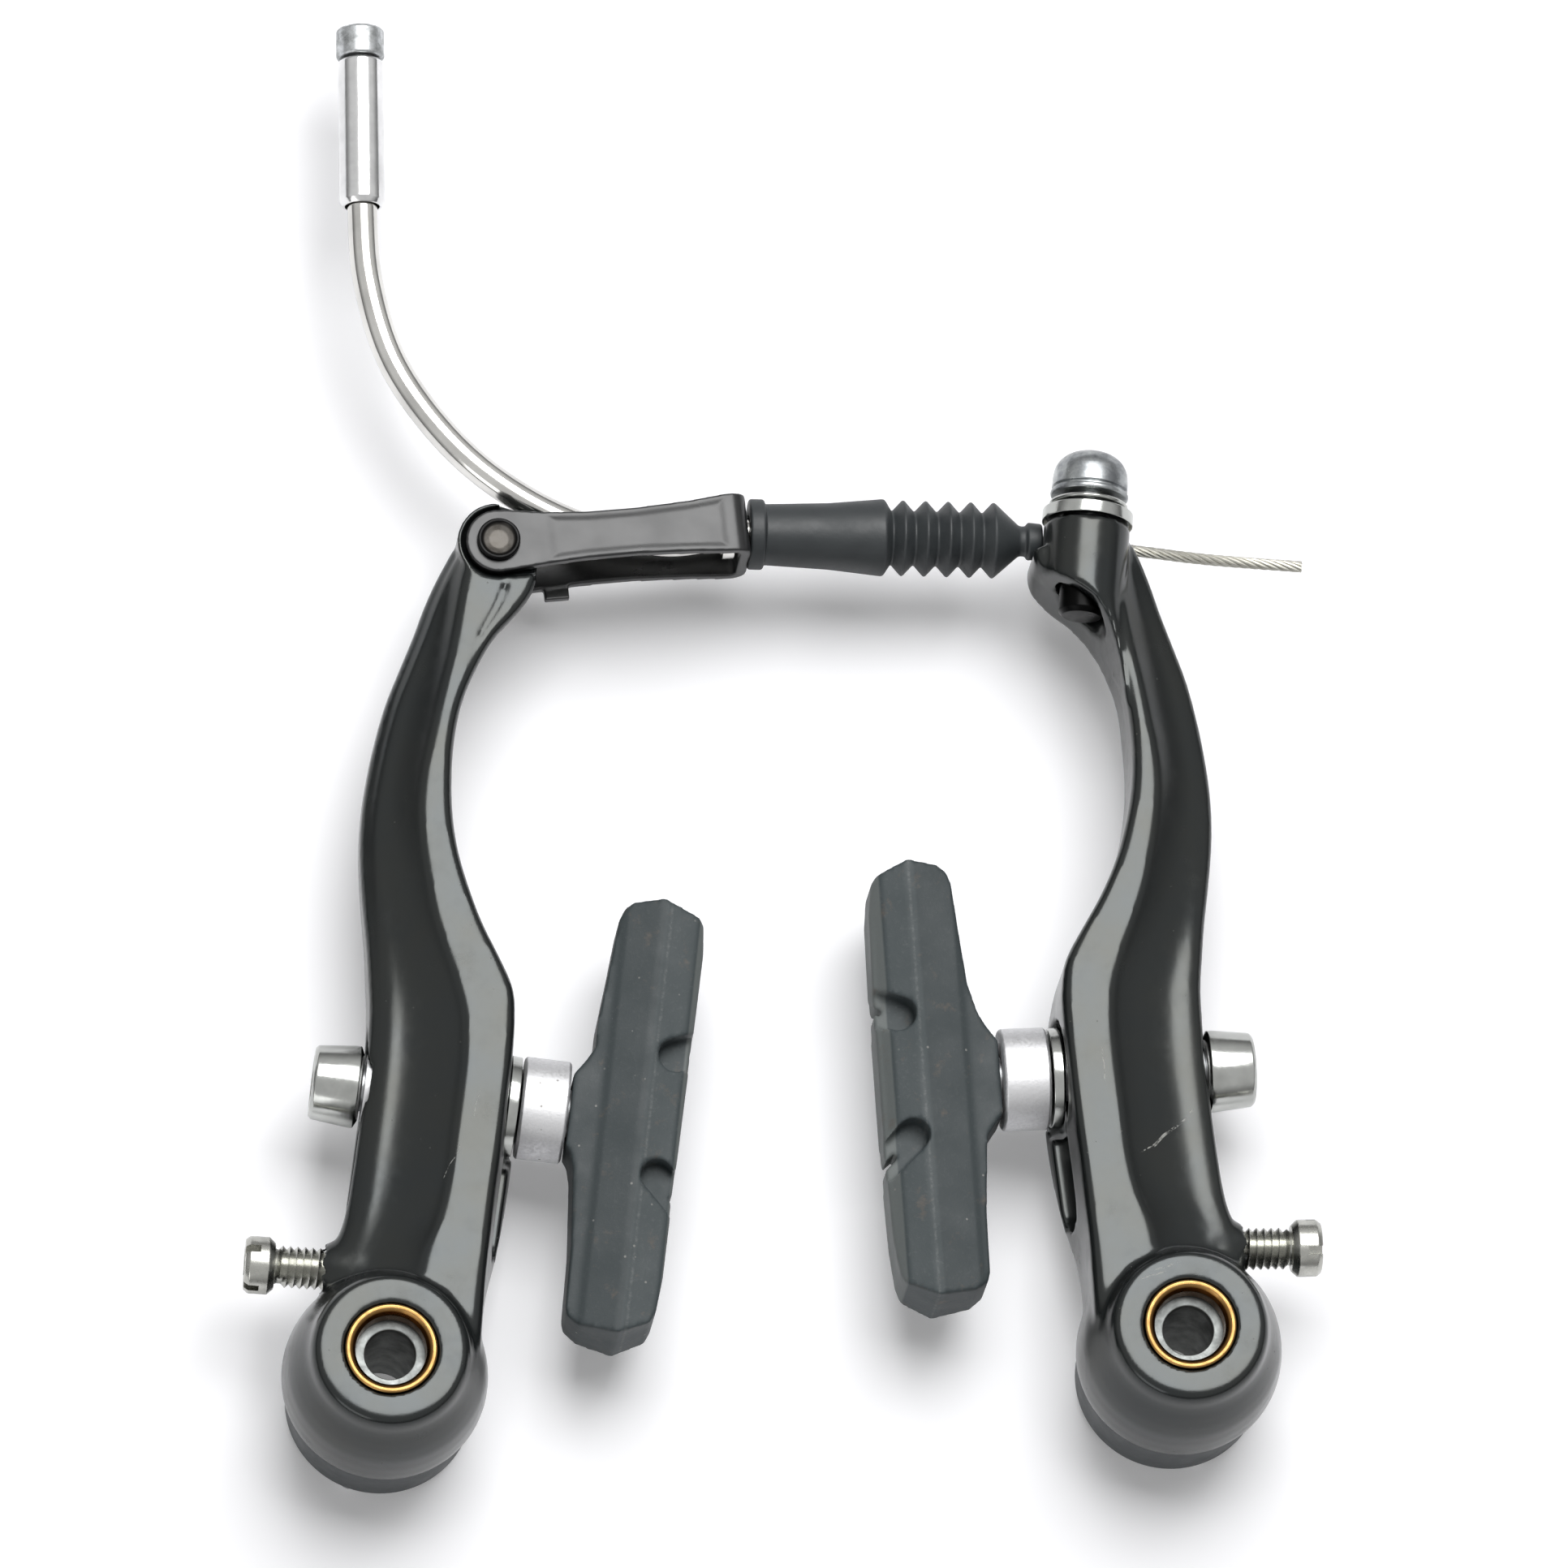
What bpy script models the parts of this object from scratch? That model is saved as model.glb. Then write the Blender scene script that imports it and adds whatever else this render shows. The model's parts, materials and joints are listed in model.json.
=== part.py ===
"""V-brake: two mirrored cast arms joined by a link, a noodle, a boot and a cable.

Frame: +X right, +Y up the arms, +Z towards the viewer, in metres. The back of the set lies at z = 0.
Lengths below are in millimetres until MM turns them into metres.
"""
import bpy
import bmesh
import math
import numpy as np
from mathutils import Matrix, Vector

MM = 0.001

# Layout
PIVOT_SPACING = 101.0
LEFT_LEAN = 10.6
RIGHT_LEAN = 4.0
GAP = 0.3

# Boss, cap and pivot
CAP_BACK = 1.2
CAP_RADIUS = 11.95
CAP_WALL = 1.15
CAP_FLOOR = 1.6
BOSS_RIM_Z = 12.2
CAP_TOP = BOSS_RIM_Z - GAP
BOSS_FACE_Z = 28.2
BOSS_FACE_RADIUS = 9.0
BOSS_RING_RADIUS = 10.15
BOSS_RADIUS = 13.1
CAVITY_RADIUS = 10.6
CAVITY_TOP = 19.0
HUB_RADIUS = 7.05
BUSHING_RADIUS = 5.7
BUSHING_LIP_BORE = 4.4
BUSHING_PROUD = 0.2
SLEEVE_RADIUS = 4.7
SLEEVE_BORE = 4.05
SLEEVE_WALL = 1.6
SLEEVE_NOSE_BORE = 3.2
SLEEVE_RECESS = 3.1
CAP_HUB_RADIUS = 6.2
PIN_RADIUS = 1.25
PIN_POS = (-2.3, -10.0)

# Return spring
SPRING_WIRE = 0.75
SPRING_RADIUS = 8.2
SPRING_PITCH = 2.3
SPRING_TURNS = 3.25
SPRING_START_Z = 4.0

# Pad and its stud
STUD_Z = 14.0
STUD_RADIUS = 3.0
SPACER_X = 15.4
SPACER_Y = 37.95
LEFT_STUD_TURN = 1.5
RIGHT_STUD_TURN = 3.2
SLOT_HALF = 3.35
SLOT_BOTTOM = 17.5
SLOT_TOP = 45.0
SEAT_X = 9.55
SEAT_RADIUS = 7.1
OUTER_SEAT_X = -4.3
OUTER_SEAT_RADIUS = 4.65
SPACER_RADIUS = 6.55
SPACER_LENGTH = 6.0
INNER_CUP_LENGTH = 1.5
NUT_OUTER_X = -14.5
NUT_RADIUS = 5.25
NUT_END_RADIUS = 4.75
PAD_RIDGE_T = 13.0
PAD_RIDGE_HALF = 6.1
PAD_FACE_HALF = 4.7
PAD_BACK_HALF = 4.4

# Tension screw
SCREW_Z = 16.0
SCREW_HEAD_X = -19.6
SCREW_HEAD_LENGTH = 3.8
SCREW_HEAD_RADIUS = 3.65
SCREW_RADIUS = 2.7
SCREW_TIP_X = -6.5
SCREW_TIP_Y = 12.6
SCREW_SLOPE = 5.0
LUG_RADIUS = 4.3

# Arm depth, from the back (z) to the flat rib and the scoop beside it
ARM_DRAFT = 1.7

# Link and noodle
LINK_Z = 15.0
LINK_DEPTH = 12.0
LINK_SHEET = 1.4
RIVET_X = -31.11
RIVET_Y = 108.58
LINK_TURN = 3.3
LINK_LENGTH = 32.4
LINK_END_RADIUS = 4.16
KEYHOLE_HALF = 1.1
RIVET_RADIUS = 2.1
RIVET_HEAD_RADIUS = 2.75
TONGUE_RADIUS = 5.6
TUBE_RADIUS = 1.95
TUBE_BORE = 1.4
CABLE_RADIUS = 0.75
NOODLE_SLEEVE_RADIUS = 2.95
NOODLE_SLEEVE_LENGTH = 20.0
STOP_RADIUS = 3.12
STOP_LENGTH = 4.0
COLLAR_RADIUS = 2.9
COLLAR_LENGTH = 1.6

# Anchor on the right arm
BARREL_RADIUS = 5.55
BARREL_Z = 18.2
BARREL_LOW = (0.0, 98.14)
BARREL_TOP = (-2.25, 109.4)
ANCHOR_SHANK = 3.0
CABLE_DROP = 1.2
CABLE_BEHIND = ANCHOR_SHANK + GAP + CABLE_RADIUS + 0.05
WASHER_THICK = 1.6
RING_THICK = 1.2
DOME_RADIUS = 4.7
DOME_HEIGHT = 6.2
THREAD_LENGTH = 9.0
TAIL_BEND = (61.0, 105.85, 14.0)
TAIL_END = (73.3, 104.5, 14.0)

# Boot
BOOT_START = 0.85
BOOT_END_X = 39.2
BOOT_END_Y = 108.72
BOOT_BODY_BORE = 2.4
BOOT_NECK_BORE = 1.15

for old in list(bpy.data.objects):
    bpy.data.objects.remove(old, do_unlink=True)

scene = bpy.context.scene
parts = bpy.data.collections.new("v_brake")
cutters = bpy.data.collections.new("cutters")
scene.collection.children.link(parts)
scene.collection.children.link(cutters)


def material(name, color, metallic, roughness):
    mat = bpy.data.materials.new(name)
    mat.use_nodes = True
    shader = mat.node_tree.nodes["Principled BSDF"]
    shader.inputs["Base Color"].default_value = (*color, 1.0)
    shader.inputs["Metallic"].default_value = metallic
    shader.inputs["Roughness"].default_value = roughness
    mat.diffuse_color = (*color, 1.0)
    return mat


FINISH = {
    "black_paint": ((0.012, 0.013, 0.015), 0.0, 0.18),
    "brass": ((0.72, 0.47, 0.2), 1.0, 0.25),
    "steel": ((0.45, 0.46, 0.47), 1.0, 0.38),
    "chrome": ((0.78, 0.79, 0.8), 1.0, 0.1),
    "nickel": ((0.66, 0.65, 0.6), 1.0, 0.22),
    "grey_plastic": ((0.075, 0.08, 0.085), 0.0, 0.55),
    "rubber": ((0.045, 0.053, 0.058), 0.0, 0.75),
    "boot_rubber": ((0.025, 0.029, 0.032), 0.0, 0.6),
    "satin_aluminium": ((0.62, 0.63, 0.65), 1.0, 0.42),
    "cable_steel": ((0.6, 0.58, 0.54), 1.0, 0.35),
}


def empty(name, location, turn=0.0, parent=None):
    obj = bpy.data.objects.new(name, None)
    obj.location = Vector(location) * MM
    obj.rotation_euler = (0.0, 0.0, math.radians(turn))
    obj.parent = parent
    cutters.objects.link(obj)
    obj.hide_render = True
    return obj


def add(name, mesh, finish=None, parent=None, location=(0, 0, 0), direction=None):
    """Adds a mesh as a named part, or as a cutter when no finish is given."""
    obj = bpy.data.objects.new(name, mesh)
    obj.location = Vector(location) * MM
    if direction is not None:
        obj.rotation_mode = "QUATERNION"
        obj.rotation_quaternion = Vector(direction).to_track_quat("Z", "Y")
    obj.parent = parent
    if finish is None:
        cutters.objects.link(obj)
        obj.hide_render = True
        obj.display_type = "WIRE"
    else:
        parts.objects.link(obj)
        obj.data.materials.append(material(name, *FINISH[finish]))
    return obj


def profile_mesh(name, points, closed):
    mesh = bpy.data.meshes.new(name)
    count = len(points)
    edges = [(i, i + 1) for i in range(count - 1)]
    if closed:
        edges.append((count - 1, 0))
    mesh.from_pydata([(r * MM, 0.0, z * MM) for r, z in points], edges, [])
    return mesh


def turned(name, points, finish=None, parent=None, location=(0, 0, 0), direction=None, steps=32, closed=False):
    """A body of revolution. The profile runs down its outer side, top to bottom."""
    obj = add(name, profile_mesh(name, points, closed), finish, parent, location, direction)
    screw = obj.modifiers.new("Screw", "SCREW")
    screw.axis = "Z"
    screw.angle = math.tau
    screw.steps = steps
    screw.render_steps = steps
    screw.use_merge_vertices = True
    screw.merge_threshold = 0.000001
    screw.use_smooth_shade = False
    return obj


def rod(name, radius, z0, z1, **where):
    return turned(name, [(0, z1), (radius, z1), (radius, z0), (0, z0)], **where)


def ring(name, outer, inner, z0, z1, **where):
    return turned(name, [(outer, z1), (outer, z0), (inner, z0), (inner, z1)], closed=True, **where)


def box(name, low, high, parent=None, finish=None, turn=0.0, centre=(0, 0, 0)):
    mesh = bpy.data.meshes.new(name)
    bm = bmesh.new()
    bmesh.ops.create_cube(bm, size=1.0)
    size = [(b - a) * MM for a, b in zip(low, high)]
    middle = [(a + b) / 2 * MM for a, b in zip(low, high)]
    bmesh.ops.scale(bm, vec=size, verts=bm.verts)
    bmesh.ops.translate(bm, vec=middle, verts=bm.verts)
    bm.to_mesh(mesh)
    bm.free()
    obj = add(name, mesh, finish, parent, centre)
    obj.rotation_euler = (0.0, 0.0, math.radians(turn))
    return obj


def slab(name, outline, z0, z1, finish=None, parent=None, location=(0, 0, 0), turn=0.0, upright=False):
    """A flat outline given a thickness from z0 to z1, or from y0 to y1 when it stands upright."""
    curve = bpy.data.curves.new(name, "CURVE")
    curve.dimensions = "2D"
    curve.fill_mode = "BOTH"
    curve.extrude = (z1 - z0) / 2 * MM
    spline = curve.splines.new("POLY")
    spline.points.add(len(outline) - 1)
    for point, (x, y) in zip(spline.points, outline):
        point.co = (x * MM, y * MM, 0.0, 1.0)
    spline.use_cyclic_u = True
    holder = bpy.data.objects.new(name + "_curve", curve)
    cutters.objects.link(holder)
    depsgraph = bpy.context.evaluated_depsgraph_get()
    mesh = bpy.data.meshes.new_from_object(holder.evaluated_get(depsgraph))
    bpy.data.objects.remove(holder, do_unlink=True)
    bm = bmesh.new()
    bm.from_mesh(mesh)
    bmesh.ops.remove_doubles(bm, verts=bm.verts, dist=0.000001)
    bmesh.ops.translate(bm, vec=(0.0, 0.0, (z0 + z1) / 2 * MM), verts=bm.verts)
    if upright:
        bmesh.ops.rotate(bm, cent=(0, 0, 0), matrix=Matrix.Rotation(math.pi / 2, 3, "X"), verts=bm.verts)
    bmesh.ops.recalc_face_normals(bm, faces=bm.faces)
    bm.to_mesh(mesh)
    bm.free()
    obj = add(name, mesh, finish, parent, location)
    obj.rotation_euler = (0.0, 0.0, math.radians(turn))
    return obj


def wire(name, points, radius, finish=None, parent=None, sides=2):
    """A round bar along a path of points."""
    curve = bpy.data.curves.new(name, "CURVE")
    curve.dimensions = "3D"
    curve.bevel_depth = radius * MM
    curve.bevel_resolution = sides
    curve.use_fill_caps = True
    spline = curve.splines.new("POLY")
    spline.points.add(len(points) - 1)
    for point, co in zip(spline.points, points):
        point.co = (co[0] * MM, co[1] * MM, co[2] * MM, 1.0)
    holder = bpy.data.objects.new(name + "_curve", curve)
    cutters.objects.link(holder)
    depsgraph = bpy.context.evaluated_depsgraph_get()
    mesh = bpy.data.meshes.new_from_object(holder.evaluated_get(depsgraph))
    bpy.data.objects.remove(holder, do_unlink=True)
    bm = bmesh.new()
    bm.from_mesh(mesh)
    bmesh.ops.remove_doubles(bm, verts=bm.verts, dist=0.000001)
    bmesh.ops.recalc_face_normals(bm, faces=bm.faces)
    bm.to_mesh(mesh)
    bm.free()
    return add(name, mesh, finish, parent)


def loft(name, sections, finish=None, parent=None):
    """A closed skin over sections that all have the same number of points."""
    count = len(sections[0])
    verts = [tuple(v * MM for v in point) for section in sections for point in section]
    faces = [tuple(range(count)), tuple(range(len(verts) - count, len(verts)))]
    for row in range(len(sections) - 1):
        for i in range(count):
            j = (i + 1) % count
            a = row * count
            faces.append((a + i, a + j, a + count + j, a + count + i))
    mesh = bpy.data.meshes.new(name)
    mesh.from_pydata(verts, [], faces)
    bm = bmesh.new()
    bm.from_mesh(mesh)
    bmesh.ops.recalc_face_normals(bm, faces=bm.faces)
    bm.to_mesh(mesh)
    bm.free()
    return add(name, mesh, finish, parent)


def boolean(target, other, operation):
    mod = target.modifiers.new(other.name, "BOOLEAN")
    mod.operation = operation
    mod.object = other
    mod.solver = "EXACT"


def cut(target, *others):
    for other in others:
        boolean(target, other, "DIFFERENCE")


def join(target, *others):
    for other in others:
        boolean(target, other, "UNION")


def smooth_path(points, per_span=6):
    """Points on a curve through the given points, evenly eased at each one."""
    pts = [np.array(p, float) for p in points]
    pts = [2 * pts[0] - pts[1]] + pts + [2 * pts[-1] - pts[-2]]
    path = []
    for p0, p1, p2, p3 in zip(pts, pts[1:], pts[2:], pts[3:]):
        for t in np.linspace(0.0, 1.0, per_span, endpoint=False):
            a = 2 * p1 + (p2 - p0) * t
            b = (2 * p0 - 5 * p1 + 4 * p2 - p3) * t * t
            c = (3 * p1 - p0 - 3 * p2 + p3) * t ** 3
            path.append(tuple((a + b + c) / 2))
    path.append(tuple(pts[-2]))
    return path


# Arm stations up the arm: height, outer edge, rib border, inner edge (left), inner edge (right)
ARM_EDGES = [
    (3.0, -9.3, 2.3, 11.2, 11.2),
    (10.0, -9.1, 2.3, 10.75, 10.75),
    (14.0, -8.8, 2.6, 10.5, 10.5),
    (19.0, -8.0, 4.1, 10.4, 10.4),
    (24.0, -7.85, 4.7, 10.3, 10.3),
    (30.0, -7.85, 4.65, 10.3, 10.3),
    (36.0, -7.95, 4.6, 10.2, 10.2),
    (42.0, -8.25, 4.35, 10.0, 10.0),
    (47.0, -8.65, 3.5, 9.65, 9.65),
    (51.0, -9.2, 2.0, 8.65, 8.65),
    (55.0, -9.85, 0.2, 6.25, 6.25),
    (59.0, -10.65, -1.6, 3.65, 3.65),
    (63.0, -11.4, -2.9, 1.63, 1.63),
    (68.0, -12.15, -4.3, -0.4, -0.4),
    (73.0, -12.5, -5.3, -1.75, -1.75),
    (78.0, -12.4, -5.45, -2.55, -2.45),
    (83.0, -12.05, -5.1, -2.9, -2.1),
    (88.0, -11.45, -4.7, -2.6, -0.6),
    (93.0, -10.35, -4.3, -1.5, 2.4),
    (98.0, -9.25, -3.9, 0.5, 5.85),
    (101.0, -8.65, -3.85, 2.5, 5.95),
    (104.3, -7.9, -3.8, 4.3, 5.6),
    (109.5, -6.5, -3.3, 4.6, 4.6),
]

RIGHT_ARM_TOP = 104.3
FINE_FROM = 47.0
FINE_TO = 63.0

# Depths at heights up the arm: height, back, rib front, scoop floor, outer lip
ARM_DEPTHS = [
    (0.0, 12.6, 24.2, 19.4, 20.2),
    (14.0, 11.6, 24.0, 19.2, 20.0),
    (22.0, 8.6, 23.6, 19.2, 19.9),
    (46.0, 8.2, 23.4, 19.2, 19.8),
    (58.0, 10.2, 22.6, 18.4, 18.9),
    (75.0, 11.0, 21.8, 17.6, 18.0),
    (95.0, 10.8, 21.2, 17.4, 17.8),
    (105.0, 9.6, 20.8, 17.8, 18.2),
    (110.0, 9.5, 20.6, 18.0, 18.4),
]


def lookup(table, height, column):
    """Smoothly interpolated value of a column of the table at a height."""
    heights = [row[0] for row in table]
    values = [row[column] for row in table]
    k = max(i for i, h in enumerate(heights[:-1]) if h <= height or i == 0)
    h0, h1 = heights[k], heights[k + 1]
    slopes = np.gradient(values, heights)
    t = (height - h0) / (h1 - h0)
    m0, m1 = slopes[k] * (h1 - h0), slopes[k + 1] * (h1 - h0)
    return (
        values[k] * (2 * t**3 - 3 * t**2 + 1)
        + m0 * (t**3 - 2 * t**2 + t)
        + values[k + 1] * (3 * t**2 - 2 * t**3)
        + m1 * (t**3 - t**2)
    )


def arm_section(height, side):
    """One closed section of the arm: a raised flat rib on the inner side and a scoop beside it."""
    outer = lookup(ARM_EDGES, height, 1)
    border = lookup(ARM_EDGES, height, 2)
    inner = lookup(ARM_EDGES, height, 3 if side < 0 else 4)
    back, front, floor, lip = [lookup(ARM_DEPTHS, height, i) for i in (1, 2, 3, 4)]
    draft = ARM_DRAFT * float(np.interp(height, [10, 20, 48, 60], [0.3, 1.0, 1.0, 0.25]))
    points = [
        (inner + draft - 1.0, back),
        (inner + draft - 0.3, back + 0.3),
        (inner + draft, back + 1.0),
        (inner + draft * 0.45, (back + front) / 2),
        (inner + 0.05, front - 1.3),
        (inner - 0.25, front - 0.45),
        (inner - 0.9, front - 0.05),
        ((inner - 0.9 + border + 0.9) / 2, front + 0.04),
        (border + 0.9, front),
        (border + 0.25, front - 0.3),
        (border - 0.3, front - 1.1),
    ]
    start = border - 0.3
    end = outer + 1.0
    for t in (0.1, 0.22, 0.36, 0.52, 0.68, 0.84):
        steep = max(0.0, 1 - t / 0.36) ** 2
        rise = max(0.0, (t - 0.3) / 0.7) ** 2
        depth = floor + (front - 1.1 - floor) * steep + (lip - floor) * rise
        points.append((start + (end - start) * t, depth))
    points += [
        (outer + 0.8, lip),
        (outer + 0.25, lip - 0.3),
        (outer, lip - 1.0),
        (outer - 0.1, (back + lip) / 2),
        (outer + 0.1, back + 1.0),
        (outer + 0.4, back + 0.3),
        (outer + 1.1, back),
    ]
    return [(-side * x, height, z) for x, z in points]


def arm_heights(side):
    """Heights of the sections, closer together where the arm cranks outward."""
    rows = [row[0] for row in ARM_EDGES if side < 0 or row[0] <= RIGHT_ARM_TOP]
    heights = []
    for a, b in zip(rows, rows[1:]):
        heights.append(a)
        if FINE_FROM <= a < FINE_TO:
            heights.append((a + b) / 2)
    return heights + [rows[-1]]


def capsule(name, x0, x1, y0, y1, z, radius, side, parent):
    """A round-ended slot running along X from x0 to x1."""
    outline = []
    for k in range(10):
        a = math.pi * k / 9
        outline.append((y1 + radius * math.sin(a), -radius * math.cos(a)))
    for k in range(10):
        a = math.pi * k / 9
        outline.append((y0 - radius * math.sin(a), radius * math.cos(a)))
    verts = []
    for x in sorted((-side * x0, -side * x1)):
        verts += [(x, y, z + dz) for y, dz in outline]
    count = len(outline)
    return loft(name, [verts[:count], verts[count:]], parent=parent)


def build_arm(side, word, frame):
    """Arm, pivot parts, pad and tension screw of one side. side is -1 for left and 1 for right."""
    def m(x, y, z):
        return (-side * x, y, z)

    arm = loft(word + "_arm", [arm_section(h, side) for h in arm_heights(side)], "black_paint", frame)
    boss = turned(
        word + "_boss",
        [
            (0, BOSS_FACE_Z), (BOSS_FACE_RADIUS, BOSS_FACE_Z), (9.55, 28.0), (9.95, 27.45),
            (BOSS_RING_RADIUS, 26.7), (10.3, 25.8), (10.75, 24.8), (11.35, 23.4), (11.95, 21.6),
            (12.5, 19.4), (12.9, 16.9), (BOSS_RADIUS, 14.6), (13.05, 13.2), (12.85, BOSS_RIM_Z), (0, BOSS_RIM_Z),
        ],
        parent=frame, steps=32,
    )
    join(arm, boss)
    slope = math.radians(SCREW_SLOPE)
    out = Vector(m(-math.cos(slope), -math.sin(slope), 0.0))
    tip = Vector(m(SCREW_TIP_X, SCREW_TIP_Y, SCREW_Z))
    lug = turned(
        word + "_lug",
        [(0, 4.0), (3.5, 4.0), (3.95, 3.75), (LUG_RADIUS, 3.0), (LUG_RADIUS, -1.0), (0, -1.0)],
        parent=frame, location=tip, direction=out, steps=16,
    )
    join(arm, lug)
    if side < 0:
        end = rod(word + "_tongue", TONGUE_RADIUS, LINK_Z - 5.7, LINK_Z + 5.75,
                  parent=frame, location=LEFT_RIVET, steps=28)
        join(arm, end)
    else:
        low = Vector(m(*BARREL_LOW, BARREL_Z))
        top = Vector(m(*BARREL_TOP, BARREL_Z))
        up = (top - low).normalized()
        length = (top - low).length
        barrel = rod(word + "_barrel", BARREL_RADIUS, 0.6, length, parent=frame, location=low, direction=up, steps=28)
        cone_top = Vector(m(-0.2, 99.6, BARREL_Z))
        cone_low = Vector(m(-3.4, 84.0, 19.6))
        cone = turned(
            word + "_cone",
            [(0, (cone_top - cone_low).length), (BARREL_RADIUS - 0.05, (cone_top - cone_low).length), (1.6, 0), (0, 0)],
            parent=frame, location=cone_low, direction=cone_top - cone_low, steps=28,
        )
        join(arm, cone, barrel)
    # Openings of the arm
    bore = rod(word + "_bore", BUSHING_RADIUS + GAP, 5.0, 40.0, parent=frame, steps=20)
    cavity = ring(word + "_cavity", CAVITY_RADIUS, HUB_RADIUS, 5.0, CAVITY_TOP, parent=frame, steps=20)
    slot = capsule(word + "_slot", -20.0, 20.0, SLOT_BOTTOM + SLOT_HALF, SLOT_TOP - SLOT_HALF,
                   STUD_Z, SLOT_HALF, side, frame)
    seat = capsule(word + "_seat", SEAT_X, 20.0, SPACER_Y - 1.3, SPACER_Y + 0.2, STUD_Z, SEAT_RADIUS, side, frame)
    outer_seat = capsule(word + "_outer_seat", -20.0, OUTER_SEAT_X + GAP, SPACER_Y - 2.0, SPACER_Y - 0.6,
                         STUD_Z, OUTER_SEAT_RADIUS, side, frame)
    screw_hole = rod(word + "_screw_hole", SCREW_RADIUS + GAP, -0.9, 12.0,
                     parent=frame, location=tip, direction=out, steps=16)
    legs = spring_leg(side)
    channel = wire(word + "_channel", legs[2:] + [legs[-1]], SPRING_WIRE + GAP + 0.05, parent=frame, sides=1)
    cut(arm, bore, cavity, slot, seat, outer_seat, screw_hole, channel)
    if side < 0:
        hole = rod(word + "_rivet_hole", RIVET_RADIUS + GAP, 0.0, 40.0, parent=frame, location=LEFT_RIVET_FLAT, steps=20)
        cut(arm, hole)
        relief = LINK_END_RADIUS + 0.5
        for name, z0, z1 in (
            ("front", LINK_Z + LINK_DEPTH / 2 - LINK_SHEET - GAP, 30.0),
            ("rear", 0.0, LINK_Z - LINK_DEPTH / 2 + LINK_SHEET + GAP),
        ):
            outline = [(20.0, -relief)]
            outline += [(relief * math.cos(a), relief * math.sin(a)) for a in np.radians(range(-90, -271, -12))]
            outline += [(4.0, relief + 1.0), (20.0, relief + 5.0)]
            cut(arm, slab(word + "_relief_" + name, outline, z0, z1, parent=frame, location=LEFT_RIVET_FLAT,
                          turn=LINK_TURN + LEFT_LEAN))
    else:
        shank_hole = rod(word + "_anchor_hole", ANCHOR_SHANK + GAP, -12.0, 30.0,
                         parent=frame, location=low, direction=up, steps=24)
        cut(arm, shank_hole)
    # Pivot parts
    turned(
        word + "_pivot_bushing",
        [
            (5.45, BOSS_FACE_Z + BUSHING_PROUD), (BUSHING_RADIUS, BOSS_FACE_Z), (BUSHING_RADIUS, 13.0),
            (SLEEVE_RADIUS + GAP, 13.0), (SLEEVE_RADIUS + GAP, BOSS_FACE_Z - SLEEVE_RECESS + GAP),
            (BUSHING_LIP_BORE, BOSS_FACE_Z - SLEEVE_RECESS + GAP), (BUSHING_LIP_BORE, BOSS_FACE_Z - 0.1),
            (4.65, BOSS_FACE_Z + BUSHING_PROUD),
        ],
        finish="brass", parent=frame, steps=24, closed=True,
    )
    nose = BOSS_FACE_Z - SLEEVE_RECESS
    turned(
        word + "_pivot_sleeve",
        [
            (SLEEVE_RADIUS, nose), (SLEEVE_RADIUS, CAP_BACK), (SLEEVE_BORE, CAP_BACK), (SLEEVE_BORE, nose - SLEEVE_WALL),
            (SLEEVE_NOSE_BORE, nose - SLEEVE_WALL), (SLEEVE_NOSE_BORE, nose),
        ],
        finish="steel", parent=frame, steps=20, closed=True,
    )
    cap = turned(
        word + "_spring_cap",
        [
            (CAP_RADIUS, CAP_TOP), (CAP_RADIUS, CAP_BACK + 0.8), (CAP_RADIUS - 0.5, CAP_BACK),
            (SLEEVE_RADIUS + GAP, CAP_BACK), (SLEEVE_RADIUS + GAP, CAP_TOP), (CAP_HUB_RADIUS, CAP_TOP),
            (CAP_HUB_RADIUS, CAP_BACK + CAP_FLOOR), (CAP_RADIUS - CAP_WALL, CAP_BACK + CAP_FLOOR),
            (CAP_RADIUS - CAP_WALL, CAP_TOP),
        ],
        finish="grey_plastic", parent=frame, steps=28, closed=True,
    )
    pin_at = m(*PIN_POS, 0.0)
    cut(cap, rod(word + "_pin_hole", PIN_RADIUS + GAP * 0.5, -1.0, 4.0, parent=frame, location=pin_at, steps=12))
    rod(word + "_spring_pin", PIN_RADIUS, 0.0, CAP_BACK + CAP_FLOOR, finish="steel", parent=frame,
        location=pin_at, steps=12)
    wire(word + "_return_spring", spring_coil(side) + legs, SPRING_WIRE, "steel", frame, sides=1)
    # Tension screw
    head0 = (SCREW_TIP_X - SCREW_HEAD_X) / math.cos(slope) - SCREW_HEAD_LENGTH
    turned(
        word + "_tension_screw",
        [
            (0, head0 + SCREW_HEAD_LENGTH - 1.2), (1.6, head0 + SCREW_HEAD_LENGTH - 1.2),
            (2.0, head0 + SCREW_HEAD_LENGTH), (3.2, head0 + SCREW_HEAD_LENGTH),
            (SCREW_HEAD_RADIUS, head0 + SCREW_HEAD_LENGTH - 0.6), (SCREW_HEAD_RADIUS, head0 + 0.8),
            (2.9, head0), (SCREW_RADIUS - 0.35, head0), (SCREW_RADIUS - 0.35, head0 - 0.5),
            (SCREW_RADIUS, head0 - 0.9), (SCREW_RADIUS, 0.6), (2.1, 0.0), (0, 0.0),
        ],
        finish="nickel", parent=frame, location=tip, direction=out, steps=20,
    )
    build_pad(side, word, frame)
    return arm


def spring_coil(side):
    """The coil, from its lower end up to the point where the leg leaves it."""
    points = []
    total = int(SPRING_TURNS * 12)
    for k in range(total):
        turn = math.tau * (k - total) / 12
        angle = math.pi - turn
        points.append((
            -side * SPRING_RADIUS * math.cos(angle), SPRING_RADIUS * math.sin(angle),
            SPRING_START_Z + SPRING_PITCH * SPRING_TURNS * k / total,
        ))
    return points


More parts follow.
